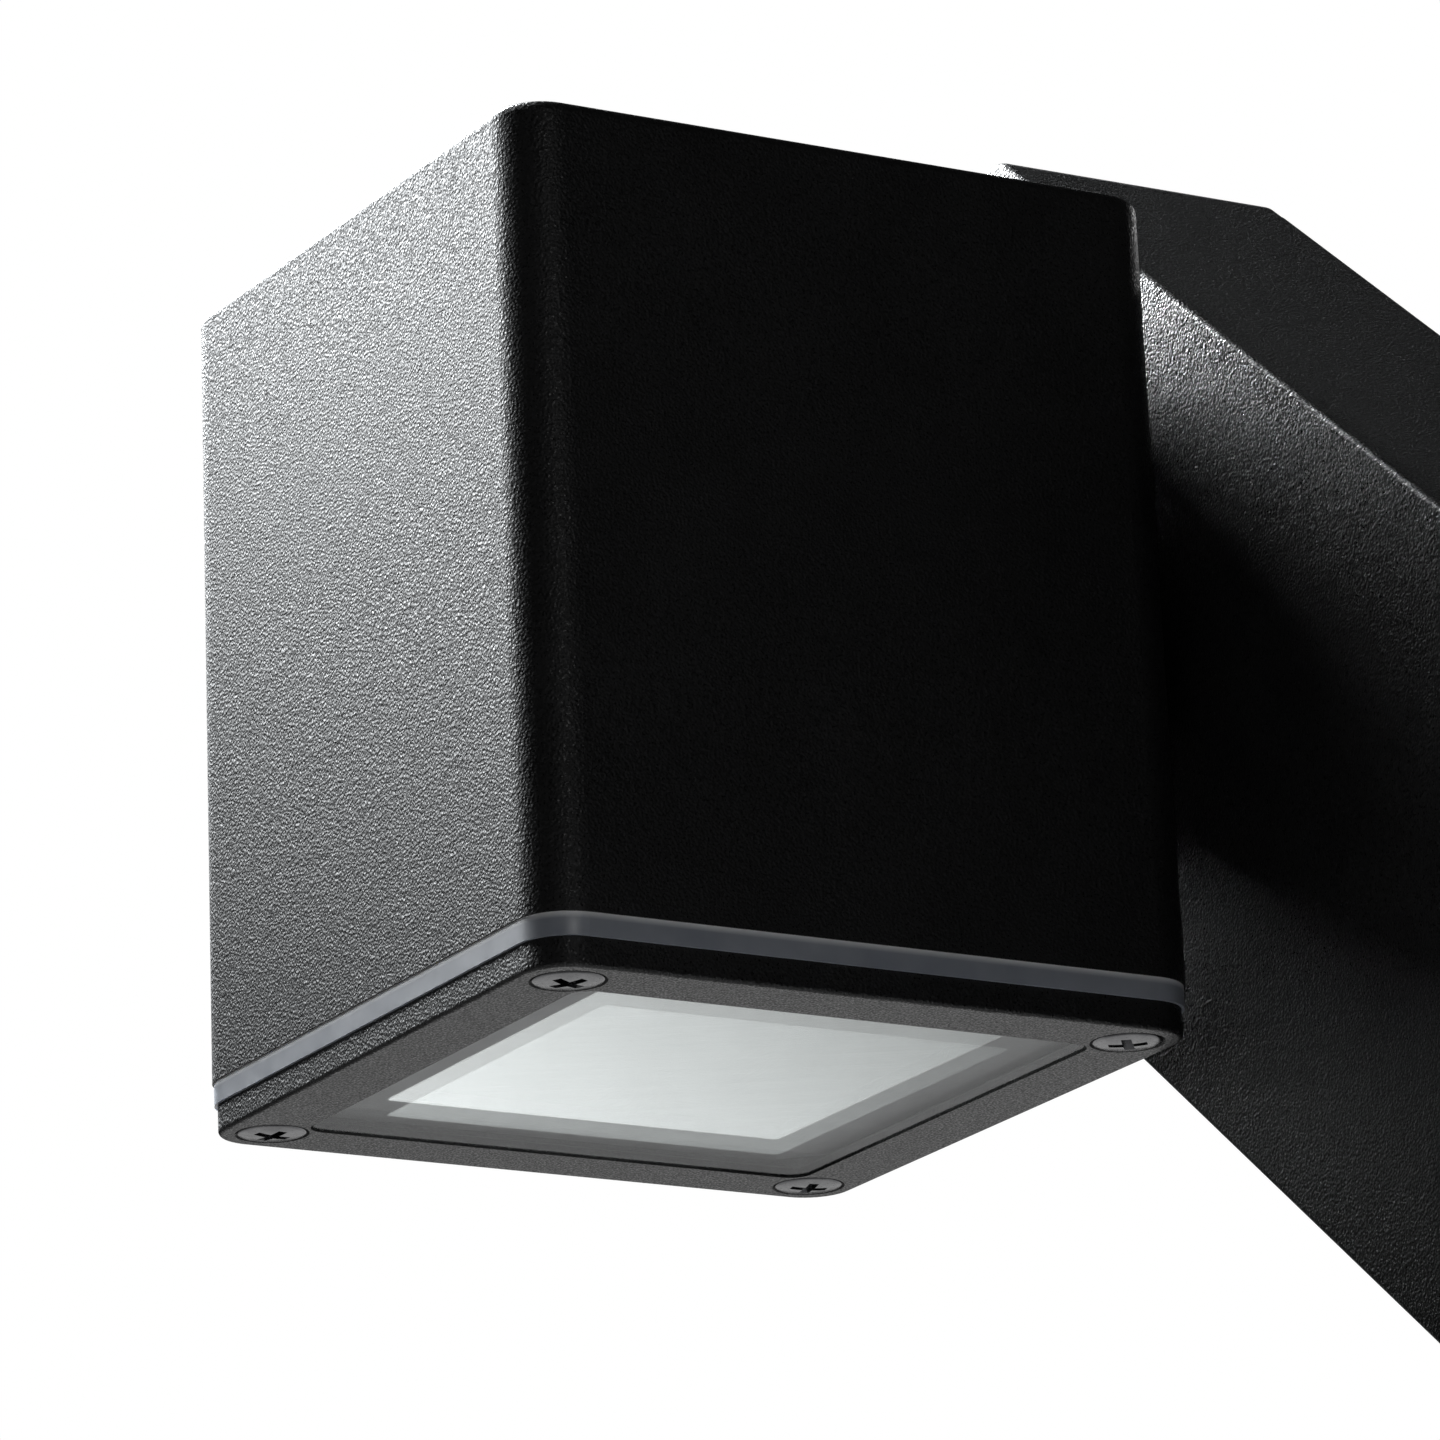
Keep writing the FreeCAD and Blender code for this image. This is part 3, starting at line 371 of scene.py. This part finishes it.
@dataclass(frozen=True)
class WindowGlass:
    """Toughened window glass with a faint frosting."""

    # The cover is the share of the pane that acts as glass.  The rest lets light straight through, as the
    # glass itself would keep most of the studio light off the panel behind it.
    name: str = "glass_clear"
    colour: Colour = (0.93, 0.96, 0.96)
    roughness: Range = (0.02, 0.06)
    cover: float = 0.4
    frosting: float = 8 * MM
    wave: float = 12 * MM
    wave_depth: float = 0.02 * MM
    wave_strength: float = 0.3

    def make(self) -> bpy.types.Material:
        """Return the glass, with a cloudy frosting and a faint wave."""
        sheet = FinishSheet(self.name)
        sheet.set(Base_Color=(*self.colour, 1.0), IOR=GLASS_INDEX)
        sheet.set(Transmission_Weight=1.0, Alpha=self.cover)
        sheet.feed("Roughness", sheet.spread(sheet.noise(self.frosting), *self.roughness))
        wave = sheet.noise(self.wave, PLAIN)
        sheet.feed("Normal", sheet.relief(wave, self.wave_depth, self.wave_strength))
        return sheet.material


@dataclass(frozen=True)
class Plastic:
    """Moulded plastic or another painted, non-metal surface."""

    name: str
    dark: Colour
    light: Colour
    roughness: Range = (0.35, 0.5)
    cloud: float = 7 * MM
    wear: float = 2 * MM
    grain: float = 0.3 * MM
    grain_depth: float = 0.02 * MM
    grain_strength: float = 0.5

    def sheet(self) -> FinishSheet:
        """Return the plastic's sheet, with faint flow clouds and a spark-eroded mould grain."""
        sheet = FinishSheet(self.name)
        sheet.set(IOR=PLASTIC_INDEX)
        sheet.feed("Base Color", sheet.tint(sheet.noise(self.cloud, FINE), self.dark, self.light))
        sheet.feed("Roughness", sheet.spread(sheet.noise(self.wear), *self.roughness))
        grain = sheet.noise(self.grain)
        sheet.feed("Normal", sheet.relief(grain, self.grain_depth, self.grain_strength))
        return sheet

    def make(self) -> bpy.types.Material:
        """Return the plastic."""
        return self.sheet().material


@dataclass(frozen=True)
class OpalPanel(Plastic):
    """Opal plastic with painted light: it glows, and less towards the corner of most X and Y, standing in
    for the light that falls on it.
    """

    name: str = "opal_plastic"
    dark: Colour = (0.5, 0.51, 0.51)
    light: Colour = (0.56, 0.57, 0.57)
    roughness: Range = (0.4, 0.55)
    # Painted light: emission colours that stand in for light falling on the panel, brighter at the near
    # corner and dimmer at the far one.
    painted_light_near: Colour = (0.52, 0.54, 0.535)
    painted_light_far: Colour = (0.13, 0.138, 0.136)

    def make(self) -> bpy.types.Material:
        """Return the plastic with its painted light, an emission that fades across the panel."""
        sheet = self.sheet()
        # The glow is painted light: an emission that fades from one corner of the panel to the other.
        sheet.set(Emission_Strength=1.0)
        sheet.feed("Emission Color", sheet.fall(self.painted_light_near, self.painted_light_far))
        return sheet.material


class Working(Enum):
    """How a metal surface was worked, as the squeeze along each axis of its marks."""

    TURNED = (1.0, 1.0, 1.0)
    DRAWN_Y = (1.0, 0.04, 1.0)


@dataclass(frozen=True)
class Metal:
    """Bare or plated metal."""

    name: str
    dark: Colour
    light: Colour
    roughness: Range = (0.25, 0.42)
    working: Working = Working.TURNED
    patch: float = 2.4 * MM
    mark: float = 0.35 * MM
    mark_depth: float = 0.015 * MM
    mark_strength: float = 0.4

    def make(self) -> bpy.types.Material:
        """Return the metal, with tool marks and a patchy plating."""
        sheet = FinishSheet(self.name)
        sheet.set(Metallic=1.0)
        sheet.feed("Base Color", sheet.tint(sheet.noise(self.patch, FINEST), self.dark, self.light))
        marks = sheet.noise(self.mark, FINE, self.working.value)
        sheet.feed("Roughness", sheet.spread(marks, *self.roughness))
        sheet.feed("Normal", sheet.relief(marks, self.mark_depth, self.mark_strength))
        return sheet.material


class Finish(Enum):
    """Every finish of the lantern.  Each name matches a material slot of the frame's record."""

    POWDER_COAT = PowderCoat()
    CLEAR_SILICONE = ClearSilicone()
    SEAL_SILICONE = Rubber("silicone_grey", (0.5, 0.51, 0.515), (0.6, 0.61, 0.615))
    BLACK_RUBBER = Rubber("rubber_black", (0.012, 0.012, 0.012), (0.025, 0.025, 0.025))
    GLASS = WindowGlass()
    OPAL = OpalPanel()
    WHITE_PLASTIC = Plastic("white_plastic", (0.8, 0.8, 0.8), (0.86, 0.86, 0.86), (0.12, 0.2))
    BOARD = Plastic("board_white", (0.74, 0.74, 0.7), (0.8, 0.8, 0.77))
    PHOSPHOR = Plastic("chip_yellow", (0.75, 0.6, 0.08), (0.85, 0.74, 0.16), (0.15, 0.25))
    SINK_ALUMINIUM = Metal("sink_aluminium", (0.66, 0.67, 0.68), (0.78, 0.79, 0.8),
                           working=Working.DRAWN_Y)
    DARK_STEEL = Metal("steel_screw", (0.06, 0.06, 0.064), (0.12, 0.12, 0.124), (0.14, 0.3))
    BRIGHT_STEEL = Metal("steel_bright", (0.5, 0.5, 0.5), (0.66, 0.66, 0.65))
    NYLON = Plastic("nylon_natural", (0.72, 0.7, 0.62), (0.8, 0.78, 0.71))
    GREY_PLASTIC = Plastic("grey_plastic", (0.1, 0.105, 0.11), (0.15, 0.155, 0.16))
    DRIVER_PLASTIC = Plastic("driver_white", (0.74, 0.74, 0.7), (0.82, 0.82, 0.79))


class PaintShop:
    """Makes each finish once and puts it on pieces."""

    def __init__(self) -> None:
        """Start with no finish made."""
        self.made: dict[Finish, bpy.types.Material] = {}

    def material(self, finish: Finish) -> bpy.types.Material:
        """Return a finish's material, made when it is first asked for."""
        if finish not in self.made:
            self.made[finish] = finish.value.make()
        return self.made[finish]

    def dress(self, piece: bpy.types.Object, finish: Finish) -> None:
        """Put a finish on a whole piece.

        Args:
            piece: The piece, a frame node or a new mesh.
            finish: What it is finished in.
        """
        piece.data.materials.clear()
        piece.data.materials.append(self.material(finish))
        for face in piece.data.polygons:
            face.material_index = 0


# ---------------------------------------------------------------------------------------------------
# Shared mesh work
# ---------------------------------------------------------------------------------------------------
def new_piece(name: str, mesh: bmesh.types.BMesh) -> bpy.types.Object:
    """Turn a mesh into a piece of the scene.

    Args:
        name: The piece's name.
        mesh: Its mesh, which is used up.

    Returns:
        The new piece.
    """
    data = bpy.data.meshes.new(name)
    mesh.to_mesh(data)
    mesh.free()
    piece = bpy.data.objects.new(name, data)
    bpy.context.scene.collection.objects.link(piece)
    return piece


def smooth(piece: bpy.types.Object, angle: float) -> None:
    """Shade a piece smooth, apart from edges sharper than an angle in degrees."""
    piece.data.polygons.foreach_set("use_smooth", [True] * len(piece.data.polygons))
    piece.data.set_sharp_from_angle(angle=math.radians(angle))


def revolve(profile: list[tuple[float, float]], segments: int) -> bmesh.types.BMesh:
    """Closed solid of revolution about Z.

    Args:
        profile: (radius, height) points, the first and the last on the axis.
        segments: Sides of the round.

    Returns:
        The mesh.
    """
    mesh = bmesh.new()
    points = [mesh.verts.new((radius, 0.0, height)) for radius, height in profile]
    edges = [mesh.edges.new(pair) for pair in zip(points, points[1:])]
    bmesh.ops.spin(mesh, geom=points + edges, cent=(0, 0, 0), axis=(0, 0, 1), angle=2 * math.pi,
                   steps=segments, use_merge=True)
    bmesh.ops.remove_doubles(mesh, verts=mesh.verts[:], dist=WELD_DISTANCE)
    bmesh.ops.recalc_face_normals(mesh, faces=mesh.faces[:])
    return mesh


def cut_out(piece: bpy.types.Object, cutter: bpy.types.Object) -> None:
    """Cut one closed mesh out of another, and throw the cutter away.

    Args:
        piece: What is cut.
        cutter: The shape that is taken out of it, whose own shells may cross.
    """
    modifier = piece.modifiers.new("cut", "BOOLEAN")
    modifier.operation = "DIFFERENCE"
    modifier.solver = "EXACT"
    modifier.use_self = True
    modifier.object = cutter
    graph = bpy.context.evaluated_depsgraph_get()
    piece.data = bpy.data.meshes.new_from_object(piece.evaluated_get(graph))
    piece.modifiers.clear()
    bpy.data.objects.remove(cutter)


def merge_copies(name: str, source: bpy.types.Object, places: list[Matrix]) -> bpy.types.Object:
    """One piece made of copies of another, which is removed.

    Args:
        name: The new piece's name.
        source: The piece to copy.
        places: Where each copy goes.

    Returns:
        The new piece.
    """
    mesh = bmesh.new()
    for place in places:
        copy = source.data.copy()
        copy.transform(place)
        mesh.from_mesh(copy)
        bpy.data.meshes.remove(copy)
    bpy.data.objects.remove(source)
    return new_piece(name, mesh)


@dataclass
class CrossScrew:
    """Screw head with a tapered cross recess, its seat at Z = 0 and its top towards +Z."""

    radius: float = 3.75 * MM
    countersink: float = 2.3 * MM
    shank: float = 2.0 * MM
    shank_length: float = 13.6 * MM
    dome: float = 0.35 * MM
    rim: float = 0.15 * MM
    rim_top: float = 0.06 * MM
    rim_bottom: float = 0.24 * MM
    recess: float = 4.5 * MM
    recess_width: float = 1.15 * MM
    recess_depth: float = 1.9 * MM
    core: float = 2.1 * MM
    taper: float = 0.5
    width_taper: float = 0.5
    overshoot: float = 0.2 * MM
    segments: int = 64
    dome_steps: int = 10

    def profile(self) -> list[tuple[float, float]]:
        """Outline from the top of the dome round the rim and down to the shank's point.

        Returns:
            (radius, height) points.
        """
        arc = (self.radius ** 2 + self.dome ** 2) / (2 * self.dome)
        points = []
        for step in range(self.dome_steps + 1):
            r = (self.radius - self.rim) * step / self.dome_steps
            points.append((r, self.dome - arc + math.sqrt(arc * arc - r * r)))
        points[0] = (0.0, self.dome)
        points.append((self.radius, -self.rim_top))
        points.append((self.radius, -self.rim_bottom))
        points.append((self.shank, -self.countersink))
        points.append((self.shank, -self.shank_length))
        points.append((0.0, -self.shank_length))
        return points

    def recess_cutter(self) -> bpy.types.Object:
        """Cross that narrows towards its bottom, with a square core in its middle.

        Returns:
            The cutter, as a piece.
        """
        mesh = bmesh.new()
        top = self.dome + self.overshoot
        bottom = self.dome - self.recess_depth
        for turn in (0.0, math.pi / 2):
            corners = []
            for height, share in ((bottom, self.taper), (top, 1.0)):
                half_length = self.recess / 2 * share
                half_width = self.recess_width / 2 * (1.0 - self.width_taper * (1.0 - share))
                for sx, sy in ((-1, -1), (1, -1), (1, 1), (-1, 1)):
                    corner = Vector((sx * half_length, sy * half_width, height))
                    corners.append(mesh.verts.new(Matrix.Rotation(turn, 3, "Z") @ corner))
            low, high = corners[:4], corners[4:]
            mesh.faces.new(low[::-1])
            mesh.faces.new(high)
            for k in range(4):
                mesh.faces.new((low[k], low[(k + 1) % 4], high[(k + 1) % 4], high[k]))
        core = bmesh.ops.create_cone(mesh, cap_ends=True, segments=4, radius1=self.core * self.taper / 2,
                                     radius2=self.core / 2, depth=top - bottom)
        bmesh.ops.translate(mesh, verts=core["verts"], vec=(0, 0, (top + bottom) / 2))
        return new_piece("recess_cutter", mesh)

    def build(self, name: str) -> bpy.types.Object:
        """Make the screw on the Z axis.

        Args:
            name: The piece's name.

        Returns:
            The screw.
        """
        screw = new_piece(name, revolve(self.profile(), self.segments))
        cut_out(screw, self.recess_cutter())
        return screw


# ---------------------------------------------------------------------------------------------------
# Sub-assemblies
# ---------------------------------------------------------------------------------------------------
@dataclass
class SubAssembly:
    """Pieces of the lantern that belong together, with the finish of each."""

    shop: PaintShop
    nodes: dict[str, bpy.types.Object]
    body: Body
    finishes: dict[str, Finish] = field(default_factory=dict)

    def dress(self) -> None:
        """Put its finish on each of the frame's own nodes."""
        for name, finish in self.finishes.items():
            node = self.nodes[name]
            self.shop.dress(node, finish)
            log.info("dressed %s in %s", name, finish.value.name)

    def add(self, piece: bpy.types.Object, finish: Finish, *stands_for: str) -> None:
        """Dress a new piece and let it ride with the sub-assembly's body.

        Args:
            piece: The new piece, in its place.
            finish: What it is finished in.
            stands_for: The frame's nodes that it is shown instead of.
        """
        self.shop.dress(piece, finish)
        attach(piece, self.body.value)
        if stands_for:
            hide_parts(*stands_for)
        log.info("built %s in %s", piece.name, finish.value.name)


@dataclass
class LampHead(SubAssembly):
    """The square cast head with its cover frame, gasket and cover screws."""

    body: Body = Body.HEAD
    finishes: dict[str, Finish] = field(default_factory=lambda: {
        "head_housing": Finish.POWDER_COAT,
        "cover_gasket": Finish.CLEAR_SILICONE,
        "cover_frame": Finish.POWDER_COAT,
        "stop_pin": Finish.BRIGHT_STEEL,
    })
    screw_turns: tuple[float, ...] = (38.0, 12.0, 64.0, 81.0)
    screw_inset: float = 6.2 * MM
    screw: CrossScrew = field(default_factory=CrossScrew)

    def screw_places(self) -> list[Matrix]:
        """Places of the four cover screws, heads down, each turned its own way.

        Returns:
            One matrix per screw.
        """
        low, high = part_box("head_housing")
        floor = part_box("cover_frame")[0].z
        places = []
        for index, turn in enumerate(self.screw_turns):
            x = (low.x + self.screw_inset) if index % 2 else (high.x - self.screw_inset)
            y = (low.y + self.screw_inset) if index // 2 else (high.y - self.screw_inset)
            spin = Matrix.Rotation(math.radians(turn), 4, "Z")
            places.append(Matrix.Translation((x, y, floor)) @ Matrix.Rotation(math.pi, 4, "X") @ spin)
        return places

    def build_screws(self) -> None:
        """Make the four countersunk screws that hold the cover frame."""
        one = self.screw.build("cover_screw")
        screws = merge_copies("cover_screw_set", one, self.screw_places())
        smooth(screws, SCREW_EDGE_ANGLE)
        self.add(screws, Finish.DARK_STEEL, "cover_screws")


@dataclass
class LightEngine(SubAssembly):
    """Glass, seal, diffuser and everything that gives the light and carries off its heat."""

    body: Body = Body.HEAD
    finishes: dict[str, Finish] = field(default_factory=lambda: {
        "glass_pane": Finish.GLASS,
        "glass_seal": Finish.SEAL_SILICONE,
        "diffuser_panel": Finish.OPAL,
        "reflector_box": Finish.WHITE_PLASTIC,
        "led_board": Finish.BOARD,
        "led_chips": Finish.PHOSPHOR,
        "heat_sink": Finish.SINK_ALUMINIUM,
        "sink_screws": Finish.BRIGHT_STEEL,
        "board_screws": Finish.BRIGHT_STEEL,
    })


@dataclass
class Swivel(SubAssembly):
    """Spindle, rings and nut that the head turns on."""

    body: Body = Body.WALL
    finishes: dict[str, Finish] = field(default_factory=lambda: {
        "swivel_spindle": Finish.BRIGHT_STEEL,
        "friction_ring": Finish.NYLON,
        "weather_ring": Finish.BLACK_RUBBER,
        "thrust_ring": Finish.BRIGHT_STEEL,
        "spring_ring": Finish.BRIGHT_STEEL,
        "swivel_nut": Finish.BRIGHT_STEEL,
    })


@dataclass
class WallBox(SubAssembly):
    """The flat cast wall box, with the plate and gasket behind it."""

    body: Body = Body.WALL
    finishes: dict[str, Finish] = field(default_factory=lambda: {
        "wall_box": Finish.POWDER_COAT,
        "end_screws": Finish.DARK_STEEL,
        "wall_gasket": Finish.BLACK_RUBBER,
        "wall_plate": Finish.BRIGHT_STEEL,
        "cable_grommet": Finish.BLACK_RUBBER,
    })


@dataclass
class SupplyGear(SubAssembly):
    """Driver, terminals, cable clamp and earth screw inside the wall box."""

    body: Body = Body.WALL
    finishes: dict[str, Finish] = field(default_factory=lambda: {
        "earth_screw": Finish.BRIGHT_STEEL,
        "cable_clamp": Finish.GREY_PLASTIC,
        "clamp_screws": Finish.BRIGHT_STEEL,
        "terminal_block": Finish.GREY_PLASTIC,
        "terminal_screws": Finish.BRIGHT_STEEL,
        "terminal_fixings": Finish.BRIGHT_STEEL,
        "led_driver": Finish.DRIVER_PLASTIC,
        "driver_screws": Finish.BRIGHT_STEEL,
    })


# ---------------------------------------------------------------------------------------------------
# Studio
# ---------------------------------------------------------------------------------------------------
@dataclass
class SoftLight:
    """Square or oblong studio light, placed from a point that it is turned to."""

    name: str
    aim: Vector
    offset: Axes
    size: tuple[float, float]
    power: float
    colour: Colour = WHITE
    fan: float = 180.0

    def build(self) -> None:
        """Make the light and turn it to what it lights."""
        data = bpy.data.lights.new(self.name, "AREA")
        data.shape = "RECTANGLE"
        data.size, data.size_y = self.size
        data.energy = self.power
        data.color = self.colour
        data.spread = math.radians(self.fan)
        light = bpy.data.objects.new(self.name, data)
        light.location = self.aim + Vector(self.offset)
        light.rotation_mode = "QUATERNION"
        light.rotation_quaternion = (self.aim - light.location).to_track_quat("-Z", "Y")
        bpy.context.scene.collection.objects.link(light)


@dataclass
class Studio:
    """Pale floor, soft lights and the camera, all placed from the head's own box."""

    head_low: Vector
    head_high: Vector
    floor_drop: float = 0.8
    floor_size: float = 12.0
    floor_patch: float = 0.3
    floor_dark: Colour = (0.8, 0.8, 0.8)
    floor_light: Colour = (0.82, 0.82, 0.82)
    floor_roughness: float = 0.9
    sensor: float = 36.0
    nearest: float = 0.01
    farthest: float = 50.0
    lens: float = 207.82
    azimuth: float = 59.793
    elevation: float = -16.944
    roll: float = -2.319
    distance: float = 0.90746
    aim_right: float = 4.356 * MM
    aim_up: float = -5.643 * MM

    @property
    def centre(self) -> Vector:
        """The middle of the head."""
        return (self.head_low + self.head_high) / 2

    def build_camera(self) -> None:
        """Set the camera low, to the right and in front of the head, looking up at it."""
        azimuth = math.radians(self.azimuth)
        elevation = math.radians(self.elevation)
        roll = math.radians(self.roll)
        back = Vector((math.sin(azimuth) * math.cos(elevation), -math.cos(azimuth) * math.cos(elevation),
                       math.sin(elevation)))
        right = Vector((math.cos(azimuth), math.sin(azimuth), 0.0))
        up = back.cross(right)
        aim = self.centre + right * self.aim_right + up * self.aim_up
        data = bpy.data.cameras.new("camera")
        data.lens = self.lens
        data.sensor_width = self.sensor
        data.clip_start = self.nearest
        data.clip_end = self.farthest
        camera = bpy.data.objects.new("camera", data)
        turned_right = right * math.cos(roll) + up * math.sin(roll)
        turned_up = back.cross(turned_right)
        turn = Matrix((turned_right, turned_up, back)).transposed()
        camera.matrix_world = Matrix.Translation(aim + back * self.distance) @ turn.to_4x4()
        bpy.context.scene.collection.objects.link(camera)
        bpy.context.scene.camera = camera

    def build_floor(self) -> None:
        """Lay the pale floor well below the lantern."""
        mesh = bmesh.new()
        bmesh.ops.create_grid(mesh, x_segments=1, y_segments=1, size=self.floor_size / 2)
        floor = new_piece("floor", mesh)
        floor.location = (self.centre.x, self.centre.y, self.head_low.z - self.floor_drop)
        sheet = FinishSheet("pale_floor")
        patches = sheet.noise(self.floor_patch, FINE)
        sheet.feed("Base Color", sheet.tint(patches, self.floor_dark, self.floor_light))
        sheet.set(Roughness=self.floor_roughness)
        floor.data.materials.append(sheet.material)

    def build_world(self, seen: float = 1.0, lit: float = 0.02) -> None:
        """Make the surroundings: white behind the lantern and dim round it.

        Args:
            seen: Brightness that the camera sees.
            lit: Brightness that falls on the lantern.
        """
        world = bpy.data.worlds.new("white_room")
        world.use_nodes = True
        tree = world.node_tree
        shade = tree.nodes["Background"]
        shade.inputs["Color"].default_value = (*WHITE, 1.0)
        rays = tree.nodes.new("ShaderNodeLightPath")
        span = tree.nodes.new("ShaderNodeMapRange")
        span.inputs["To Min"].default_value = lit
        span.inputs["To Max"].default_value = seen
        tree.links.new(rays.outputs["Is Camera Ray"], span.inputs["Value"])
        tree.links.new(span.outputs["Result"], shade.inputs["Strength"])
        bpy.context.scene.world = world

    def build_lights(self) -> None:
        """Set the soft lights round the head."""
        head = self.centre
        side = head + Vector((0.0, 0.01, 0.0))
        window = Vector((head.x, head.y, self.head_low.z))
        ground = head + Vector((0.0, 0.01, -1.0))
        lights = [
            SoftLight("key_softbox", head, (-0.42, -0.24, 0.28), (0.3, 0.24), 0.31, COOL_WHITE, 70.0),
            SoftLight("high_softbox", head, (-0.36, -0.17, 0.3), (0.28, 0.2), 0.35, COOL_WHITE, 70.0),
            SoftLight("edge_softbox", side, (-0.5, 0.0, 0.41), (0.09, 0.24), 3.3, COOL_WHITE, 60.0),
            SoftLight("ridge_softbox", head, (-0.15, -0.12, 0.42), (0.12, 0.12), 0.1, COOL_WHITE, 70.0),
            SoftLight("bounce_card", window, (-0.45, 0.27, -0.28), (0.5, 0.5), 0.5),
            SoftLight("rim_softbox", head, (-0.45, 0.75, 0.26), (0.45, 0.35), 1.3),
            SoftLight("side_softbox", head, (0.95, -0.17, 0.29), (0.2, 0.2), 0.3),
            SoftLight("floor_light", ground, (0.0, 0.0, 0.7), (5.0, 5.0), 21.0),
            SoftLight("room_light", head, (0.0, -0.7, 1.4), (1.0, 1.0), 0.6),
        ]
        for light in lights:
            light.build()
            log.info("set up %s", light.name)

    def build(self) -> None:
        """Make the whole studio."""
        self.build_floor()
        self.build_world()
        self.build_lights()
        self.build_camera()
        view = bpy.context.scene.view_settings
        view.view_transform = "Standard"
        view.look = "None"


def main() -> None:
    """Build the lantern's looks round the frame, piece by piece, and set up the studio."""
    logging.basicConfig(level=logging.INFO, format="%(message)s")
    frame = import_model()
    shop = PaintShop()
    nodes = frame["nodes"]
    head = LampHead(shop, nodes)
    head.dress()
    head.build_screws()
    for assembly in (LightEngine, Swivel, WallBox, SupplyGear):
        assembly(shop, nodes).dress()
        log.info("finished %s", assembly.__name__)
    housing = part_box("head_housing")
    Studio(Vector((housing[0].x, housing[0].y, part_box("cover_frame")[0].z)), housing[1]).build()


if __name__ == "__main__":
    main()
